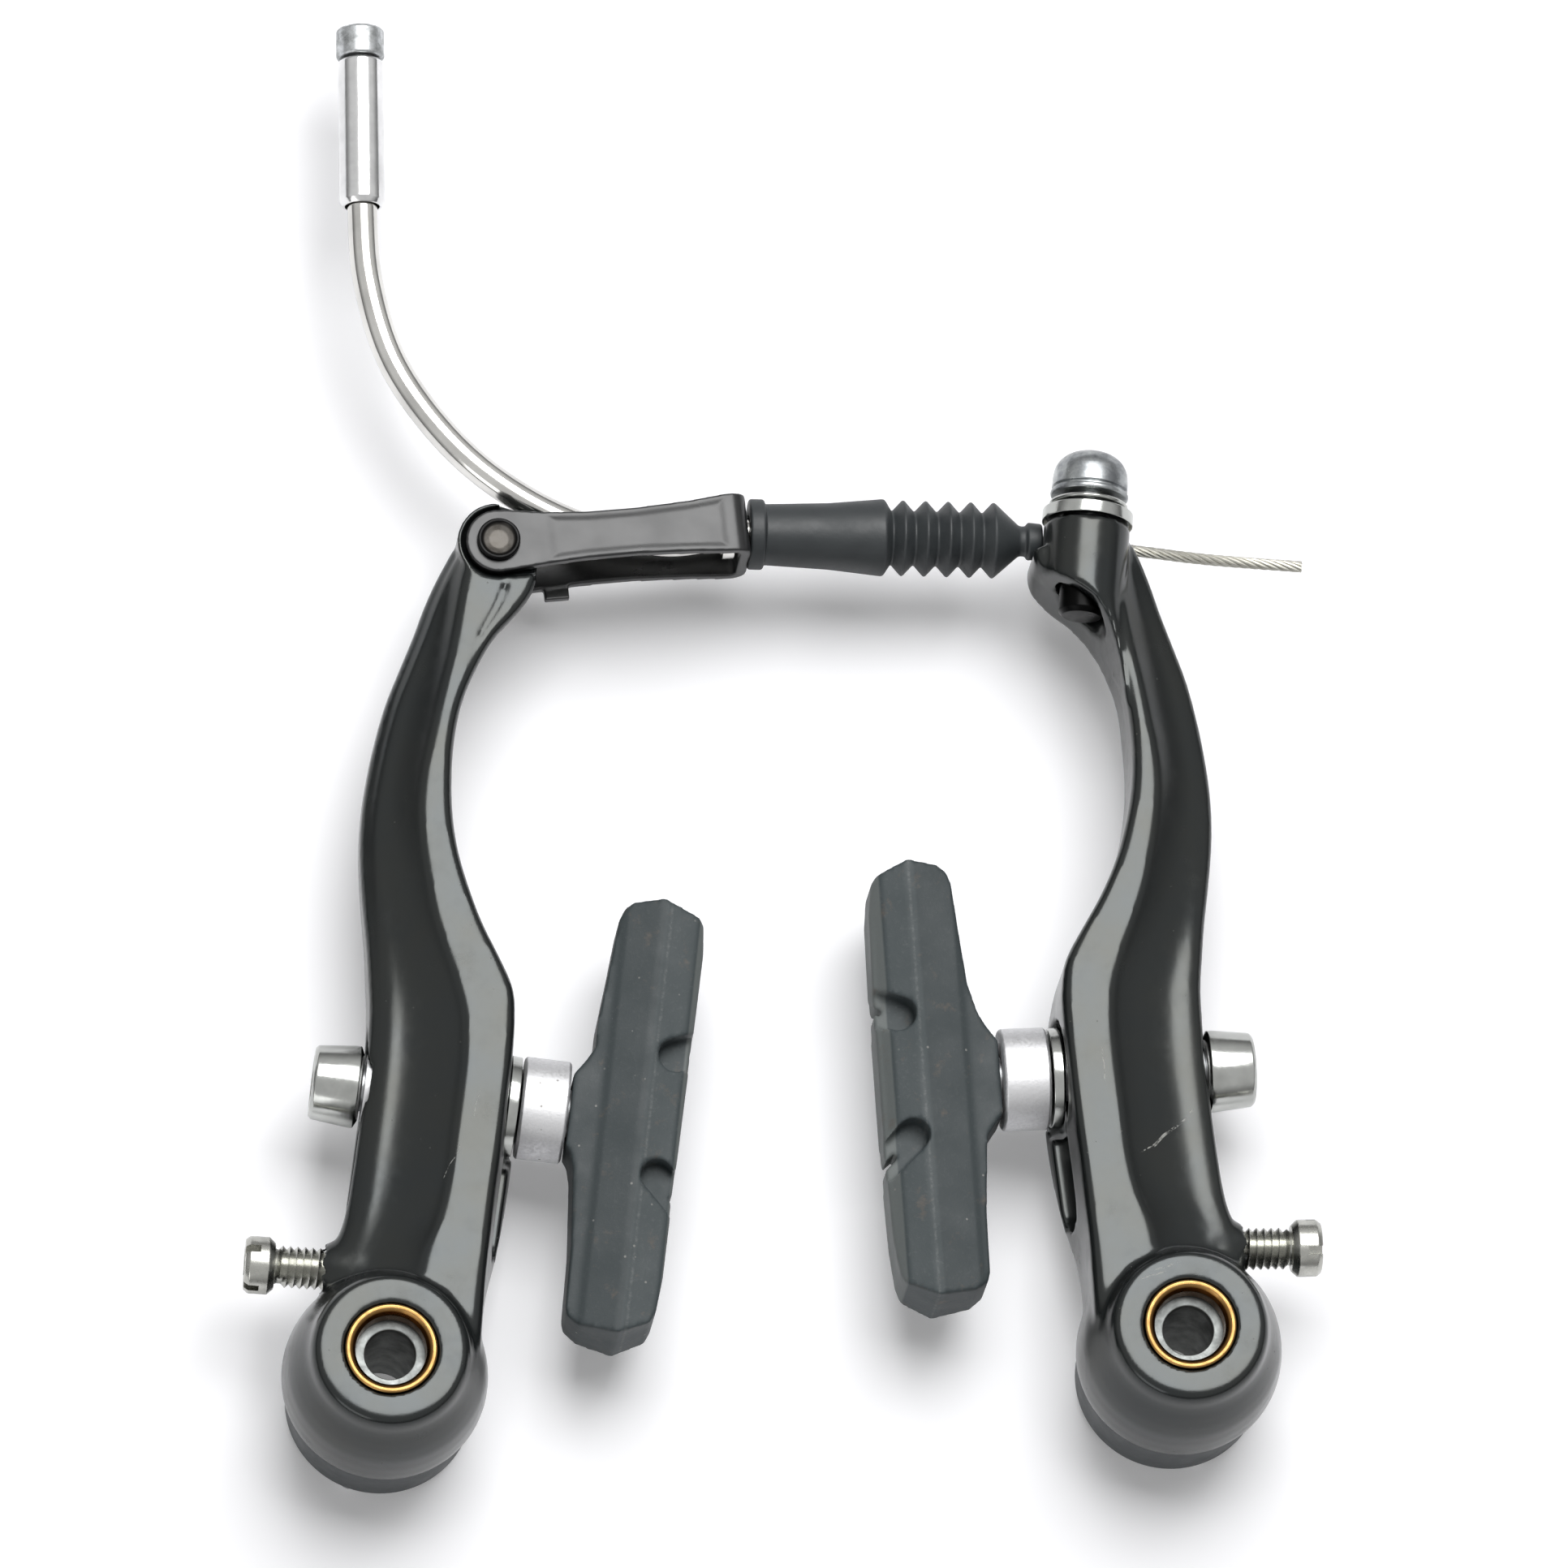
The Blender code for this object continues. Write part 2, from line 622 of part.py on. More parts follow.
def spring_leg(side):
    """The leg that runs up inside the arm to the tip of the tension screw."""
    top = SPRING_START_Z + SPRING_PITCH * SPRING_TURNS
    path = [
        (-8.2, 0.0, top), (-8.05, 2.0, top + 0.9), (-7.4, 4.6, top + 2.2), (-6.3, 7.4, 15.3),
        (-5.6, 10.0, 15.9), (-5.45, 12.6, SCREW_Z), (-5.45, 14.4, SCREW_Z),
    ]
    return [(-side * x, y, z) for x, y, z in path]


PAD_OUTLINE = [
    (6.5, -29.0), (6.2, -27.8), (6.0, -18.0), (5.2, -8.4), (3.6, -6.2), (2.95, -5.4), (2.95, 4.2), (4.2, 6.0),
    (5.3, 8.0), (6.3, 11.8), (7.0, 19.0), (7.5, 25.4), (8.1, 27.0), (9.2, 27.9), (13.0, 28.6), (17.2, 26.9),
    (18.0, 26.0), (18.5, 22.0), (18.7, 12.0), (18.7, -9.0), (18.4, -22.0), (17.9, -27.4), (17.2, -29.0),
    (13.0, -31.1), (8.2, -30.3),
]


def build_pad(side, word, frame):
    """The stud with its washers, nut and pad, laid along the stud's own axis."""
    turn = LEFT_STUD_TURN if side < 0 else RIGHT_STUD_TURN
    root = empty(word + "_stud_axis", (-side * SPACER_X, SPACER_Y, STUD_Z), -side * turn, frame)
    along = (-side, 0, 0)

    def on_axis(maker, name, *args, **kw):
        return maker(word + name, *args, parent=root, direction=along, **kw)

    outline = [(-side * t, l) for t, l in PAD_OUTLINE]
    pad = slab(word + "_pad_rubber", outline, -PAD_RIDGE_HALF, PAD_RIDGE_HALF, "rubber", root)
    section = [
        (0.0, 3.9), (7.6, PAD_BACK_HALF), (8.6, PAD_BACK_HALF + 0.55), (PAD_RIDGE_T - 0.35, PAD_RIDGE_HALF - 0.06),
        (PAD_RIDGE_T + 0.35, PAD_RIDGE_HALF - 0.06), (17.6, PAD_FACE_HALF + 0.2), (18.3, PAD_FACE_HALF - 0.4), (22.0, 3.9),
    ]
    section = section + [(t, -h) for t, h in reversed(section)]
    shape = slab(word + "_pad_section", [(-side * t, h) for t, h in section], -40.0, 40.0, parent=root, upright=True)
    boolean(pad, shape, "INTERSECT")
    for name, t, l, slant in (("upper", 14.6, 8.6, 8.0), ("lower", 14.2, -8.6, -32.0)):
        notch = slab(word + "_notch_" + name, slot_outline(1.75, 12.0), -10.0, 10.0, parent=root,
                     location=(-side * t, l, 0.0), turn=(slant if side < 0 else 180.0 - slant))
        cut(pad, notch)
    pad_hole = on_axis(rod, "_pad_hole", STUD_RADIUS + GAP, -10.0, 9.0, steps=20)
    cut(pad, pad_hole)
    nut_out = NUT_OUTER_X - SPACER_X
    on_axis(
        turned, "_pad_stud",
        [(0, 8.7), (STUD_RADIUS, 8.7), (STUD_RADIUS, nut_out + 1.6), (STUD_RADIUS - 0.5, nut_out + 1.0), (0, nut_out + 1.0)],
        finish="steel", steps=16,
    )
    hole = STUD_RADIUS + GAP
    spacer_end = 2.95 - GAP
    spacer_start = spacer_end - SPACER_LENGTH
    on_axis(
        turned, "_thick_spacer",
        [
            (SPACER_RADIUS - 0.3, spacer_end), (SPACER_RADIUS, spacer_end - 0.3), (SPACER_RADIUS, spacer_start + 0.3),
            (SPACER_RADIUS - 0.3, spacer_start), (5.2, spacer_start), (hole + 0.6, spacer_start + 0.9),
            (hole, spacer_start + 0.9), (hole, spacer_end),
        ],
        finish="satin_aluminium", steps=24, closed=True,
    )
    cup_end = spacer_start - GAP
    cup_start = cup_end - INNER_CUP_LENGTH
    on_axis(
        turned, "_inner_cup_washer",
        [
            (hole + 0.4, cup_end + 0.95), (5.0, cup_end), (6.35, cup_end), (6.45, cup_start + 0.2), (6.25, cup_start),
            (hole, cup_start), (hole, cup_end + 0.95),
        ],
        finish="chrome", steps=24, closed=True,
    )
    seat = OUTER_SEAT_X - SPACER_X
    on_axis(
        turned, "_outer_cup_washer",
        [(4.3, seat - GAP), (4.3, seat - 1.5), (4.1, seat - 1.7), (hole, seat - 1.7), (hole, seat - GAP)],
        finish="chrome", steps=20, closed=True,
    )
    on_axis(
        ring, "_outer_thin_spacer", 4.3, hole, seat - 3.6, seat - 2.0, finish="satin_aluminium", steps=20,
    )
    nut_in = seat - 3.9
    on_axis(
        turned, "_pad_nut",
        [
            (4.2, nut_in), (NUT_RADIUS, nut_in - 0.5), (NUT_RADIUS, nut_in - 1.2), (NUT_END_RADIUS, nut_out + 0.4),
            (NUT_END_RADIUS - 0.4, nut_out), (hole + 0.3, nut_out), (hole, nut_out + 0.5), (hole, nut_in),
        ],
        finish="chrome", steps=24, closed=True,
    )


def slot_outline(half, length):
    """A slot with one round end at the origin, running out along X."""
    points = [(0.0 + half * math.cos(a), half * math.sin(a)) for a in np.linspace(math.pi / 2, 1.5 * math.pi, 11)]
    return points + [(length, -half), (length, half)]


LEFT_PIVOT = Vector((-PIVOT_SPACING / 2, 0.0, 0.0))
RIGHT_PIVOT = Vector((PIVOT_SPACING / 2, 0.0, 0.0))
to_left = Matrix.Rotation(math.radians(LEFT_LEAN), 3, "Z")
LEFT_RIVET = to_left @ (Vector((RIVET_X, RIVET_Y, 0.0)) - LEFT_PIVOT)
LEFT_RIVET_FLAT = LEFT_RIVET.copy()

left = empty("left_pivot", LEFT_PIVOT, -LEFT_LEAN)
right = empty("right_pivot", RIGHT_PIVOT, RIGHT_LEAN)
left_arm = build_arm(-1, "left", left)
right_arm = build_arm(1, "right", right)

# Places on the right arm, in the shared frame
to_row = Matrix.Rotation(math.radians(RIGHT_LEAN), 3, "Z")
barrel_low = RIGHT_PIVOT + to_row @ Vector((-BARREL_LOW[0], BARREL_LOW[1], BARREL_Z))
barrel_top = RIGHT_PIVOT + to_row @ Vector((-BARREL_TOP[0], BARREL_TOP[1], BARREL_Z))
barrel_up = (barrel_top - barrel_low).normalized()
across = Vector((barrel_up.y, -barrel_up.x, 0.0))
clamp = barrel_top - barrel_up * CABLE_DROP + Vector((0.0, 0.0, -CABLE_BEHIND))

# Link
link_turn = math.radians(LINK_TURN)
link_dir = Vector((math.cos(link_turn), math.sin(link_turn), 0.0))
link_up = Vector((-link_dir.y, link_dir.x, 0.0))
rivet = Vector((RIVET_X, RIVET_Y, 0.0))
axis_root = rivet + Vector((0.0, 0.0, LINK_Z))
link_frame = empty("link_pivot", rivet, LINK_TURN)
lower_edge = [(1.0, -3.95), (0.91, -3.85), (0.77, -3.5), (0.555, -3.2), (0.345, -3.25), (0.185, -3.6), (0.06, -4.0)]
upper_edge = [(0.06, 3.98), (0.185, 3.4), (0.365, 2.98), (0.555, 2.98), (0.77, 3.35), (0.91, 3.85), (1.0, 3.95)]
edge = [(share * LINK_LENGTH, y) for share, y in lower_edge]
edge += [(LINK_END_RADIUS * math.cos(a), LINK_END_RADIUS * math.sin(a)) for a in np.radians(range(-90, -271, -12))]
edge += [(share * LINK_LENGTH, y) for share, y in upper_edge]
link = slab("link", edge, LINK_Z - LINK_DEPTH / 2 - 1, LINK_Z + LINK_DEPTH / 2 + 1, "black_paint", link_frame)


def strap(name, x1, half, radius):
    """Outline of a strip bent round its far end, in the plane of X and Z."""
    points = [(-8.0, LINK_Z - half)]
    for a in np.radians(range(-90, 1, 18)):
        points.append((x1 - radius + radius * math.cos(a), LINK_Z - half + radius + radius * math.sin(a)))
    for a in np.radians(range(0, 91, 18)):
        points.append((x1 - radius + radius * math.cos(a), LINK_Z + half - radius + radius * math.sin(a)))
    points.append((-8.0, LINK_Z + half))
    return slab(name, points, -10.0, 10.0, parent=link_frame, upright=True)


boolean(link, strap("link_outer", LINK_LENGTH, LINK_DEPTH / 2, 2.2), "INTERSECT")
inner = strap("link_inner", LINK_LENGTH - LINK_SHEET, LINK_DEPTH / 2 - LINK_SHEET, 0.9)
cut(link, inner)
back_z = LINK_Z - LINK_DEPTH / 2
join(link, box("link_tab", (6.2, -5.1, back_z + 0.1), (9.4, -3.0, back_z + LINK_SHEET - 0.1), parent=link_frame))
cut(
    link,
    rod("link_rivet_hole", RIVET_RADIUS + GAP, 0.0, 40.0, parent=link_frame, steps=20),
    rod("link_tube_hole", TUBE_RADIUS + GAP, LINK_LENGTH - 8.0, LINK_LENGTH + 8.0, parent=link_frame,
        location=(0, 0, LINK_Z), direction=(1, 0, 0), steps=20),
    box("link_keyhole", (LINK_LENGTH - LINK_SHEET - 1.0, 0.0, LINK_Z - KEYHOLE_HALF),
        (LINK_LENGTH + 1.0, 8.0, LINK_Z + KEYHOLE_HALF), parent=link_frame),
)
front_z = LINK_Z + LINK_DEPTH / 2
turned(
    "link_rivet",
    [
        (0, front_z + 0.55), (1.7, front_z + 0.6), (2.15, front_z + 1.0), (2.55, front_z + 1.0),
        (RIVET_HEAD_RADIUS, front_z + 0.8), (RIVET_HEAD_RADIUS, front_z + GAP), (RIVET_RADIUS, front_z + GAP),
        (RIVET_RADIUS, back_z - GAP), (RIVET_HEAD_RADIUS, back_z - GAP), (RIVET_HEAD_RADIUS, back_z - 0.9),
        (2.3, back_z - 1.2), (0, back_z - 1.2),
    ],
    finish="steel", parent=link_frame, steps=20,
)

# Noodle: a tube bent through a quarter turn, with its tip in the link's end wall
tip_at = axis_root + link_dir * (LINK_LENGTH + 3.8)
mouth = Vector((-45.3, 176.3, LINK_Z))
sleeve_end = Vector((-46.0, 156.3, LINK_Z))
sleeve_dir = (mouth - sleeve_end).normalized()
tube_points = [
    sleeve_end + sleeve_dir * 12.0, sleeve_end, Vector((-45.7, 145.8, LINK_Z)), Vector((-42.96, 134.8, LINK_Z)),
    Vector((-36.7, 124.7, LINK_Z)), Vector((-29.0, 117.3, LINK_Z)), Vector((-19.6, 112.0, LINK_Z)),
    axis_root + link_dir * 21.5, axis_root + link_dir * 28.0, tip_at,
]
tube_path = smooth_path(tube_points, 3)
tube = wire("noodle_tube", tube_path, TUBE_RADIUS, "nickel", sides=2)
first = Vector(tube_path[0])
last = Vector(tube_path[-1])
bore_path = [tuple(first + sleeve_dir)] + tube_path[1:-1] + [tuple(last + link_dir)]
cut(tube, wire("noodle_bore", bore_path, TUBE_BORE, sides=1))
turned(
    "noodle_sleeve",
    [
        (NOODLE_SLEEVE_RADIUS - 0.25, NOODLE_SLEEVE_LENGTH), (NOODLE_SLEEVE_RADIUS, NOODLE_SLEEVE_LENGTH - 0.3),
        (NOODLE_SLEEVE_RADIUS, 0.7), (TUBE_RADIUS + 0.55, 0.0), (TUBE_RADIUS + GAP, 0.0),
        (TUBE_RADIUS + GAP, NOODLE_SLEEVE_LENGTH),
    ],
    finish="nickel", location=sleeve_end, direction=sleeve_dir, steps=24, closed=True,
)
collar_at = axis_root + link_dir * (LINK_LENGTH - LINK_SHEET - GAP - COLLAR_LENGTH)
ring("noodle_collar", COLLAR_RADIUS, TUBE_RADIUS + GAP, 0.0, COLLAR_LENGTH, finish="nickel",
     location=collar_at, direction=link_dir, steps=20)
stop_base = sleeve_end + sleeve_dir * (NOODLE_SLEEVE_LENGTH + GAP)
turned(
    "cable_end_stop",
    [
        (0, STOP_LENGTH), (STOP_RADIUS - 0.3, STOP_LENGTH), (STOP_RADIUS, STOP_LENGTH - 0.3), (STOP_RADIUS, 0.25),
        (STOP_RADIUS - 0.25, 0.0), (CABLE_RADIUS + GAP, 0.0), (CABLE_RADIUS + GAP, 3.0), (0, 3.0),
    ],
    finish="nickel", location=stop_base, direction=sleeve_dir, steps=24,
)

# Boot, round the cable between the link and the right arm
boot_from = axis_root + link_dir * (LINK_LENGTH + BOOT_START)
boot_to = Vector((BOOT_END_X, BOOT_END_Y, LINK_Z - 0.65))
boot_dir = (boot_to - boot_from).normalized()
boot_length = (boot_to - boot_from).length


def boot_profile(length):
    """Outer side of the boot from the arm end down to the flange, then the bore back up."""
    peaks = 5
    fold_top = length - 7.6
    fold_low = length - 20.4
    step = (fold_top - fold_low) / (peaks - 0.5)
    points = [(2.4, length), (2.4, length - 1.5), (1.95, length - 1.8), (1.95, length - 2.6)]
    for k in range(peaks):
        points.append((4.95, fold_top - k * step + 1.4 - 0.35 * k))
        points.append((3.3, fold_top - (k + 0.5) * step + 1.2 - 0.35 * k))
    points[-1] = (3.3, fold_low + 0.4)
    points += [(5.0, fold_low), (4.9, fold_low - 1.0), (4.3, fold_low - 7.0), (3.95, 1.9), (3.95, 1.6),
               (4.55, 1.35), (4.55, 0.0), (BOOT_BODY_BORE, 0.0)]
    points += [(BOOT_BODY_BORE, fold_low - 1.0), (BOOT_NECK_BORE + 0.7, fold_low + 1.5),
               (BOOT_NECK_BORE + 0.7, fold_top + 1.0), (BOOT_NECK_BORE, length - 4.5), (BOOT_NECK_BORE, length)]
    return points


turned("boot", boot_profile(boot_length), finish="boot_rubber", location=boot_from, direction=boot_dir, steps=22,
       closed=True)

# Cable, whole along its route
cable_path = [tuple(stop_base + sleeve_dir * 2.7), tuple(sleeve_end + sleeve_dir * 16.0)] + tube_path
enter = clamp - across * 6.2
leave = clamp + across * 6.4
cable_path += smooth_path(
    [
        tip_at + link_dir * 1.5, boot_from + boot_dir * boot_length * 0.38, boot_from + boot_dir * boot_length * 0.75,
        enter, clamp, leave, Vector(TAIL_BEND), Vector(TAIL_END),
    ],
    3,
)
wire("inner_cable", cable_path, CABLE_RADIUS, "cable_steel", sides=1)

# Cable groove across the top of the barrel
groove_frame = empty("groove", clamp, math.degrees(math.atan2(across.y, across.x)))
reach = BARREL_RADIUS * 2
groove = rod("cable_groove", CABLE_RADIUS + GAP, -reach, reach, location=clamp, direction=across, steps=20)
groove_top = box("cable_groove_top", (-reach, 0.0, -CABLE_RADIUS - GAP), (reach, BARREL_RADIUS, CABLE_RADIUS + GAP),
                 parent=groove_frame)
cut(right_arm, groove, groove_top)

# Anchor bolt, ring and washer
seat_gap = GAP
ring_at = seat_gap + WASHER_THICK + GAP
dome_at = ring_at + RING_THICK + GAP
ring("anchor_washer", BARREL_RADIUS + 0.05, ANCHOR_SHANK + GAP, seat_gap, seat_gap + WASHER_THICK,
     finish="chrome", location=barrel_top, direction=barrel_up, steps=24)
turned(
    "anchor_ring",
    [
        (DOME_RADIUS, ring_at + RING_THICK), (DOME_RADIUS + 0.1, ring_at + RING_THICK * 0.7),
        (DOME_RADIUS + 0.1, ring_at + 0.2), (DOME_RADIUS - 0.1, ring_at), (ANCHOR_SHANK + GAP, ring_at),
        (ANCHOR_SHANK + GAP, ring_at + RING_THICK),
    ],
    finish="chrome", location=barrel_top, direction=barrel_up, steps=24, closed=True,
)
dome = [(0, dome_at + DOME_HEIGHT)]
for a in np.radians((75, 60, 45, 30, 15)):
    dome.append((1.0 + (DOME_RADIUS - 1.2) * math.cos(a), dome_at + 2.9 + (DOME_HEIGHT - 2.9) * math.sin(a)))
dome += [(DOME_RADIUS - 0.15, dome_at + 2.6), (DOME_RADIUS - 0.1, dome_at + 1.0), (DOME_RADIUS, dome_at + 0.6),
         (DOME_RADIUS, dome_at), (ANCHOR_SHANK, dome_at), (ANCHOR_SHANK, -THREAD_LENGTH + 0.5),
         (ANCHOR_SHANK - 0.5, -THREAD_LENGTH), (0, -THREAD_LENGTH)]
turned("anchor_bolt", dome, finish="chrome", location=barrel_top, direction=barrel_up, steps=24)

# The frame's origin goes under the middle of the whole set
bpy.context.view_layer.update()
depsgraph = bpy.context.evaluated_depsgraph_get()
low = Vector((1.0, 1.0, 1.0))
high = -low
for obj in parts.objects:
    shape = obj.evaluated_get(depsgraph).to_mesh()
    for vert in shape.vertices:
        place = obj.matrix_world @ vert.co
        low = Vector(map(min, low, place))
        high = Vector(map(max, high, place))
shift = Vector((-(low.x + high.x) / 2, -(low.y + high.y) / 2, -low.z))
for obj in list(parts.objects) + list(cutters.objects):
    if obj.parent is None:
        obj.location += shift
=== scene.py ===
"""Looks of a bicycle V-brake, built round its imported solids.

Lengths are in millimetres in the brake's own layout, with the origin midway between the pivots.
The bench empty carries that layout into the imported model's frame.
"""
import bpy
import bmesh
import json
import math
import numpy as np
from mathutils import Matrix, Vector

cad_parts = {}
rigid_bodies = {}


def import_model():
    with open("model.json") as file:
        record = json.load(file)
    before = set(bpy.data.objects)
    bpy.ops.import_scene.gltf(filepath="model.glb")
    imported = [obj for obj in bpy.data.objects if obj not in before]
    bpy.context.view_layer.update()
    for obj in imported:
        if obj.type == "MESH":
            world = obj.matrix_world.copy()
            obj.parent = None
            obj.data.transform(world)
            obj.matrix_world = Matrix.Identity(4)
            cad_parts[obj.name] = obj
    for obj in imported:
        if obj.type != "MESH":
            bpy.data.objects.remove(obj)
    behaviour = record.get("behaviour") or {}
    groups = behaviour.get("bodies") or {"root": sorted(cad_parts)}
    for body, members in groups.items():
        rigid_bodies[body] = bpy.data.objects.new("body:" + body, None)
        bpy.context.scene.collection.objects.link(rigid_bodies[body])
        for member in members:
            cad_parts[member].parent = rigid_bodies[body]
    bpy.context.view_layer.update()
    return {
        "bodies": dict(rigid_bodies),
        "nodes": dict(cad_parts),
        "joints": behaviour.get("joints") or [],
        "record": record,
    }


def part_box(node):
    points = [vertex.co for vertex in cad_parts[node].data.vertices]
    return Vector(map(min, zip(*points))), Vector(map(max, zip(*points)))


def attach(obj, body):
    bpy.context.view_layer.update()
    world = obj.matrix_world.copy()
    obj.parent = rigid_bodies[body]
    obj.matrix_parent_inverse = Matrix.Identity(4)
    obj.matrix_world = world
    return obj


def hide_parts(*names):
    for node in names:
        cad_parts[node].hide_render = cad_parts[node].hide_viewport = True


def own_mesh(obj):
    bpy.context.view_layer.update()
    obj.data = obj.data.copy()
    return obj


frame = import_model()
MM = 0.001

# Layout
PIVOT_SPACING = 101.0
LEFT_LEAN = 10.6
RIGHT_LEAN = 4.0
GAP = 0.3

# Boss and pivot
BOSS_RIM_Z = 12.2
BOSS_FACE_Z = 28.2
BOSS_FACE_RADIUS = 9.0
CAVITY_RADIUS = 10.6
CAVITY_TOP = 19.0
HUB_RADIUS = 7.05
BUSHING_RADIUS = 5.7
SLEEVE_RADIUS = 4.7
SLEEVE_RECESS = 3.1
CAP_BACK = 1.2
CAP_RADIUS = 11.95
CAP_TOP = BOSS_RIM_Z - GAP
SPRING_WIRE = 0.75

# Pad and its stud
STUD_Z = 14.0
STUD_RADIUS = 3.0
SPACER_X = 15.4
SPACER_Y = 37.95
LEFT_STUD_TURN = 1.5
RIGHT_STUD_TURN = 3.2
SLOT_HALF = 3.35
SEAT_X = 9.55
OUTER_SEAT_X = -4.3
PAD_RIDGE_T = 13.0
PAD_RIDGE_HALF = 6.1
LEFT_PAD_SET = 1.0
POCKET_RADIUS = 2.15
POCKET_FLOOR = 2.5
NOTCH_HALF = 0.4
NOTCH_REACH = 2.3
NUT_OUTER_X = -14.5

# Tension screw
SCREW_HEAD_X = -19.6
SCREW_HEAD_LENGTH = 3.8
SCREW_HEAD_RADIUS = 3.65
SCREW_RADIUS = 2.7
SCREW_TIP = (-6.5, 12.6, 16.0)
SCREW_SLOPE = math.radians(5.0)
SCREW_PITCH = 0.95

# Link and noodle
LINK_Z = 15.0
LINK_DEPTH = 12.0
LINK_SHEET = 1.4
RIVET = Vector((-31.11, 108.58, 0.0))
LINK_TURN = 3.3
LINK_LENGTH = 32.4
LINK_END_RADIUS = 4.16
RIVET_RADIUS = 2.1
RIVET_HEAD_RADIUS = 2.75
TONGUE_RADIUS = 5.25
TUBE_RADIUS = 1.95
CABLE_RADIUS = 0.75

# Anchor and boot
BARREL_RADIUS = 5.55
BARREL_Z = 18.2
BARREL_LOW = (0.0, 98.14)
BARREL_TOP = (-2.25, 109.4)
ANCHOR_SHANK = 3.0
CABLE_DROP = 1.2
BOOT_START = 0.85
BOOT_END = (39.2, 108.72, LINK_Z - 0.65)
FOLDS = 5
FOLD_PITCH = 2.93
FOLD_PEAK = 5.0
FOLD_VALLEY = 3.4

shop = bpy.data.collections.new("workshop")
bpy.context.scene.collection.children.link(shop)


def empty(name, location, turn=0.0, parent=None):
    obj = bpy.data.objects.new(name, None)
    obj.location = Vector(location) * MM
    obj.rotation_euler = (0.0, 0.0, math.radians(turn))
    obj.parent = parent
    shop.objects.link(obj)
    return obj


low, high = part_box("left_pivot_sleeve")
bench = empty("bench", (0, 0, 0))
bench.location = ((low.x + high.x) / 2 + PIVOT_SPACING / 2 * MM, (low.y + high.y) / 2, 0.0)
shift = bench.location.copy()


def blank(name, mesh, parent=None, location=(0, 0, 0), direction=None):
    """A workshop object, in the layout unless it has a parent of its own."""
    obj = bpy.data.objects.new("blank_" + name, mesh)
    obj.location = Vector(location) * MM
    if direction is not None:
        obj.rotation_mode = "QUATERNION"
        obj.rotation_quaternion = Vector(direction).to_track_quat("Z", "Y")
    obj.parent = parent or bench
    shop.objects.link(obj)
    return obj


def softened(points, radius, closed):
    """The profile with each corner turned into a small round."""
    if radius == 0:
        return points
    count = len(points)
    made = []
    for i, p in enumerate(points):
        if not closed and i in (0, count - 1):
            made.append(p)
            continue
        a = Vector(points[i - 1]) - Vector(p)
        b = Vector(points[(i + 1) % count]) - Vector(p)
        r = min(radius, a.length * 0.42, b.length * 0.42)
        if a.length < 1e-6 or b.length < 1e-6 or a.angle(b) > math.radians(172):
            made.append(p)
            continue
        start = Vector(p) + a.normalized() * r
        end = Vector(p) + b.normalized() * r
        for t in (0.0, 0.25, 0.5, 0.75, 1.0):
            q = start * (1 - t) ** 2 + Vector(p) * 2 * t * (1 - t) + end * t * t
            made.append((max(q.x, 0.0), q.y))
    return made


def turned(name, points, steps=72, closed=False, soft=0.14, **where):
    """A body of revolution. The profile runs down its outer side, top to bottom."""
    points = softened(points, soft, closed)
    mesh = bpy.data.meshes.new(name)
    edges = [(i, i + 1) for i in range(len(points) - 1)]
    if closed:
        edges.append((len(points) - 1, 0))
    mesh.from_pydata([(r * MM, 0.0, z * MM) for r, z in points], edges, [])
    obj = blank(name, mesh, **where)
    screw = obj.modifiers.new("Screw", "SCREW")
    screw.axis = "Z"
    screw.steps = steps
    screw.render_steps = steps
    screw.use_merge_vertices = True
    screw.merge_threshold = 0.000001
    return obj


def rod(name, radius, z0, z1, steps=48, **where):
    return turned(name, [(0, z1), (radius, z1), (radius, z0), (0, z0)], steps, soft=0.0, **where)


def ring(name, outer, inner, z0, z1, steps=48, soft=0.0, **where):
    return turned(name, [(outer, z1), (outer, z0), (inner, z0), (inner, z1)], steps, True, soft, **where)


def slab(name, outline, z0, z1, turn=0.0, upright=False, **where):
    """A flat outline given a thickness from z0 to z1, or from y0 to y1 when it stands upright."""
    curve = bpy.data.curves.new(name, "CURVE")
    curve.dimensions = "2D"
    curve.fill_mode = "BOTH"
    curve.extrude = (z1 - z0) / 2 * MM
    spline = curve.splines.new("POLY")
    spline.points.add(len(outline) - 1)
    for point, (x, y) in zip(spline.points, outline):
        point.co = (x * MM, y * MM, 0.0, 1.0)
    spline.use_cyclic_u = True
    mesh = meshed(curve)
    mesh.transform(Matrix.Translation((0.0, 0.0, (z0 + z1) / 2 * MM)))
    if upright:
        mesh.transform(Matrix.Rotation(math.pi / 2, 4, "X"))
    obj = blank(name, mesh, **where)
    obj.rotation_euler = (0.0, 0.0, math.radians(turn))
    return obj


def box(name, low, high, **where):
    outline = [(low[0], low[1]), (high[0], low[1]), (high[0], high[1]), (low[0], high[1])]
    return slab(name, outline, low[2], high[2], **where)


def meshed(curve):
    """A curve's own faces, welded, with its normals outwards."""
    holder = bpy.data.objects.new("holder", curve)
    mesh = bpy.data.meshes.new_from_object(holder)
    bpy.data.objects.remove(holder, do_unlink=True)
    tidy(mesh)
    return mesh


def tidy(mesh):
    bm = bmesh.new()
    bm.from_mesh(mesh)
    bmesh.ops.remove_doubles(bm, verts=bm.verts, dist=0.0000005)
    bmesh.ops.recalc_face_normals(bm, faces=bm.faces)
    bm.to_mesh(mesh)
    bm.free()


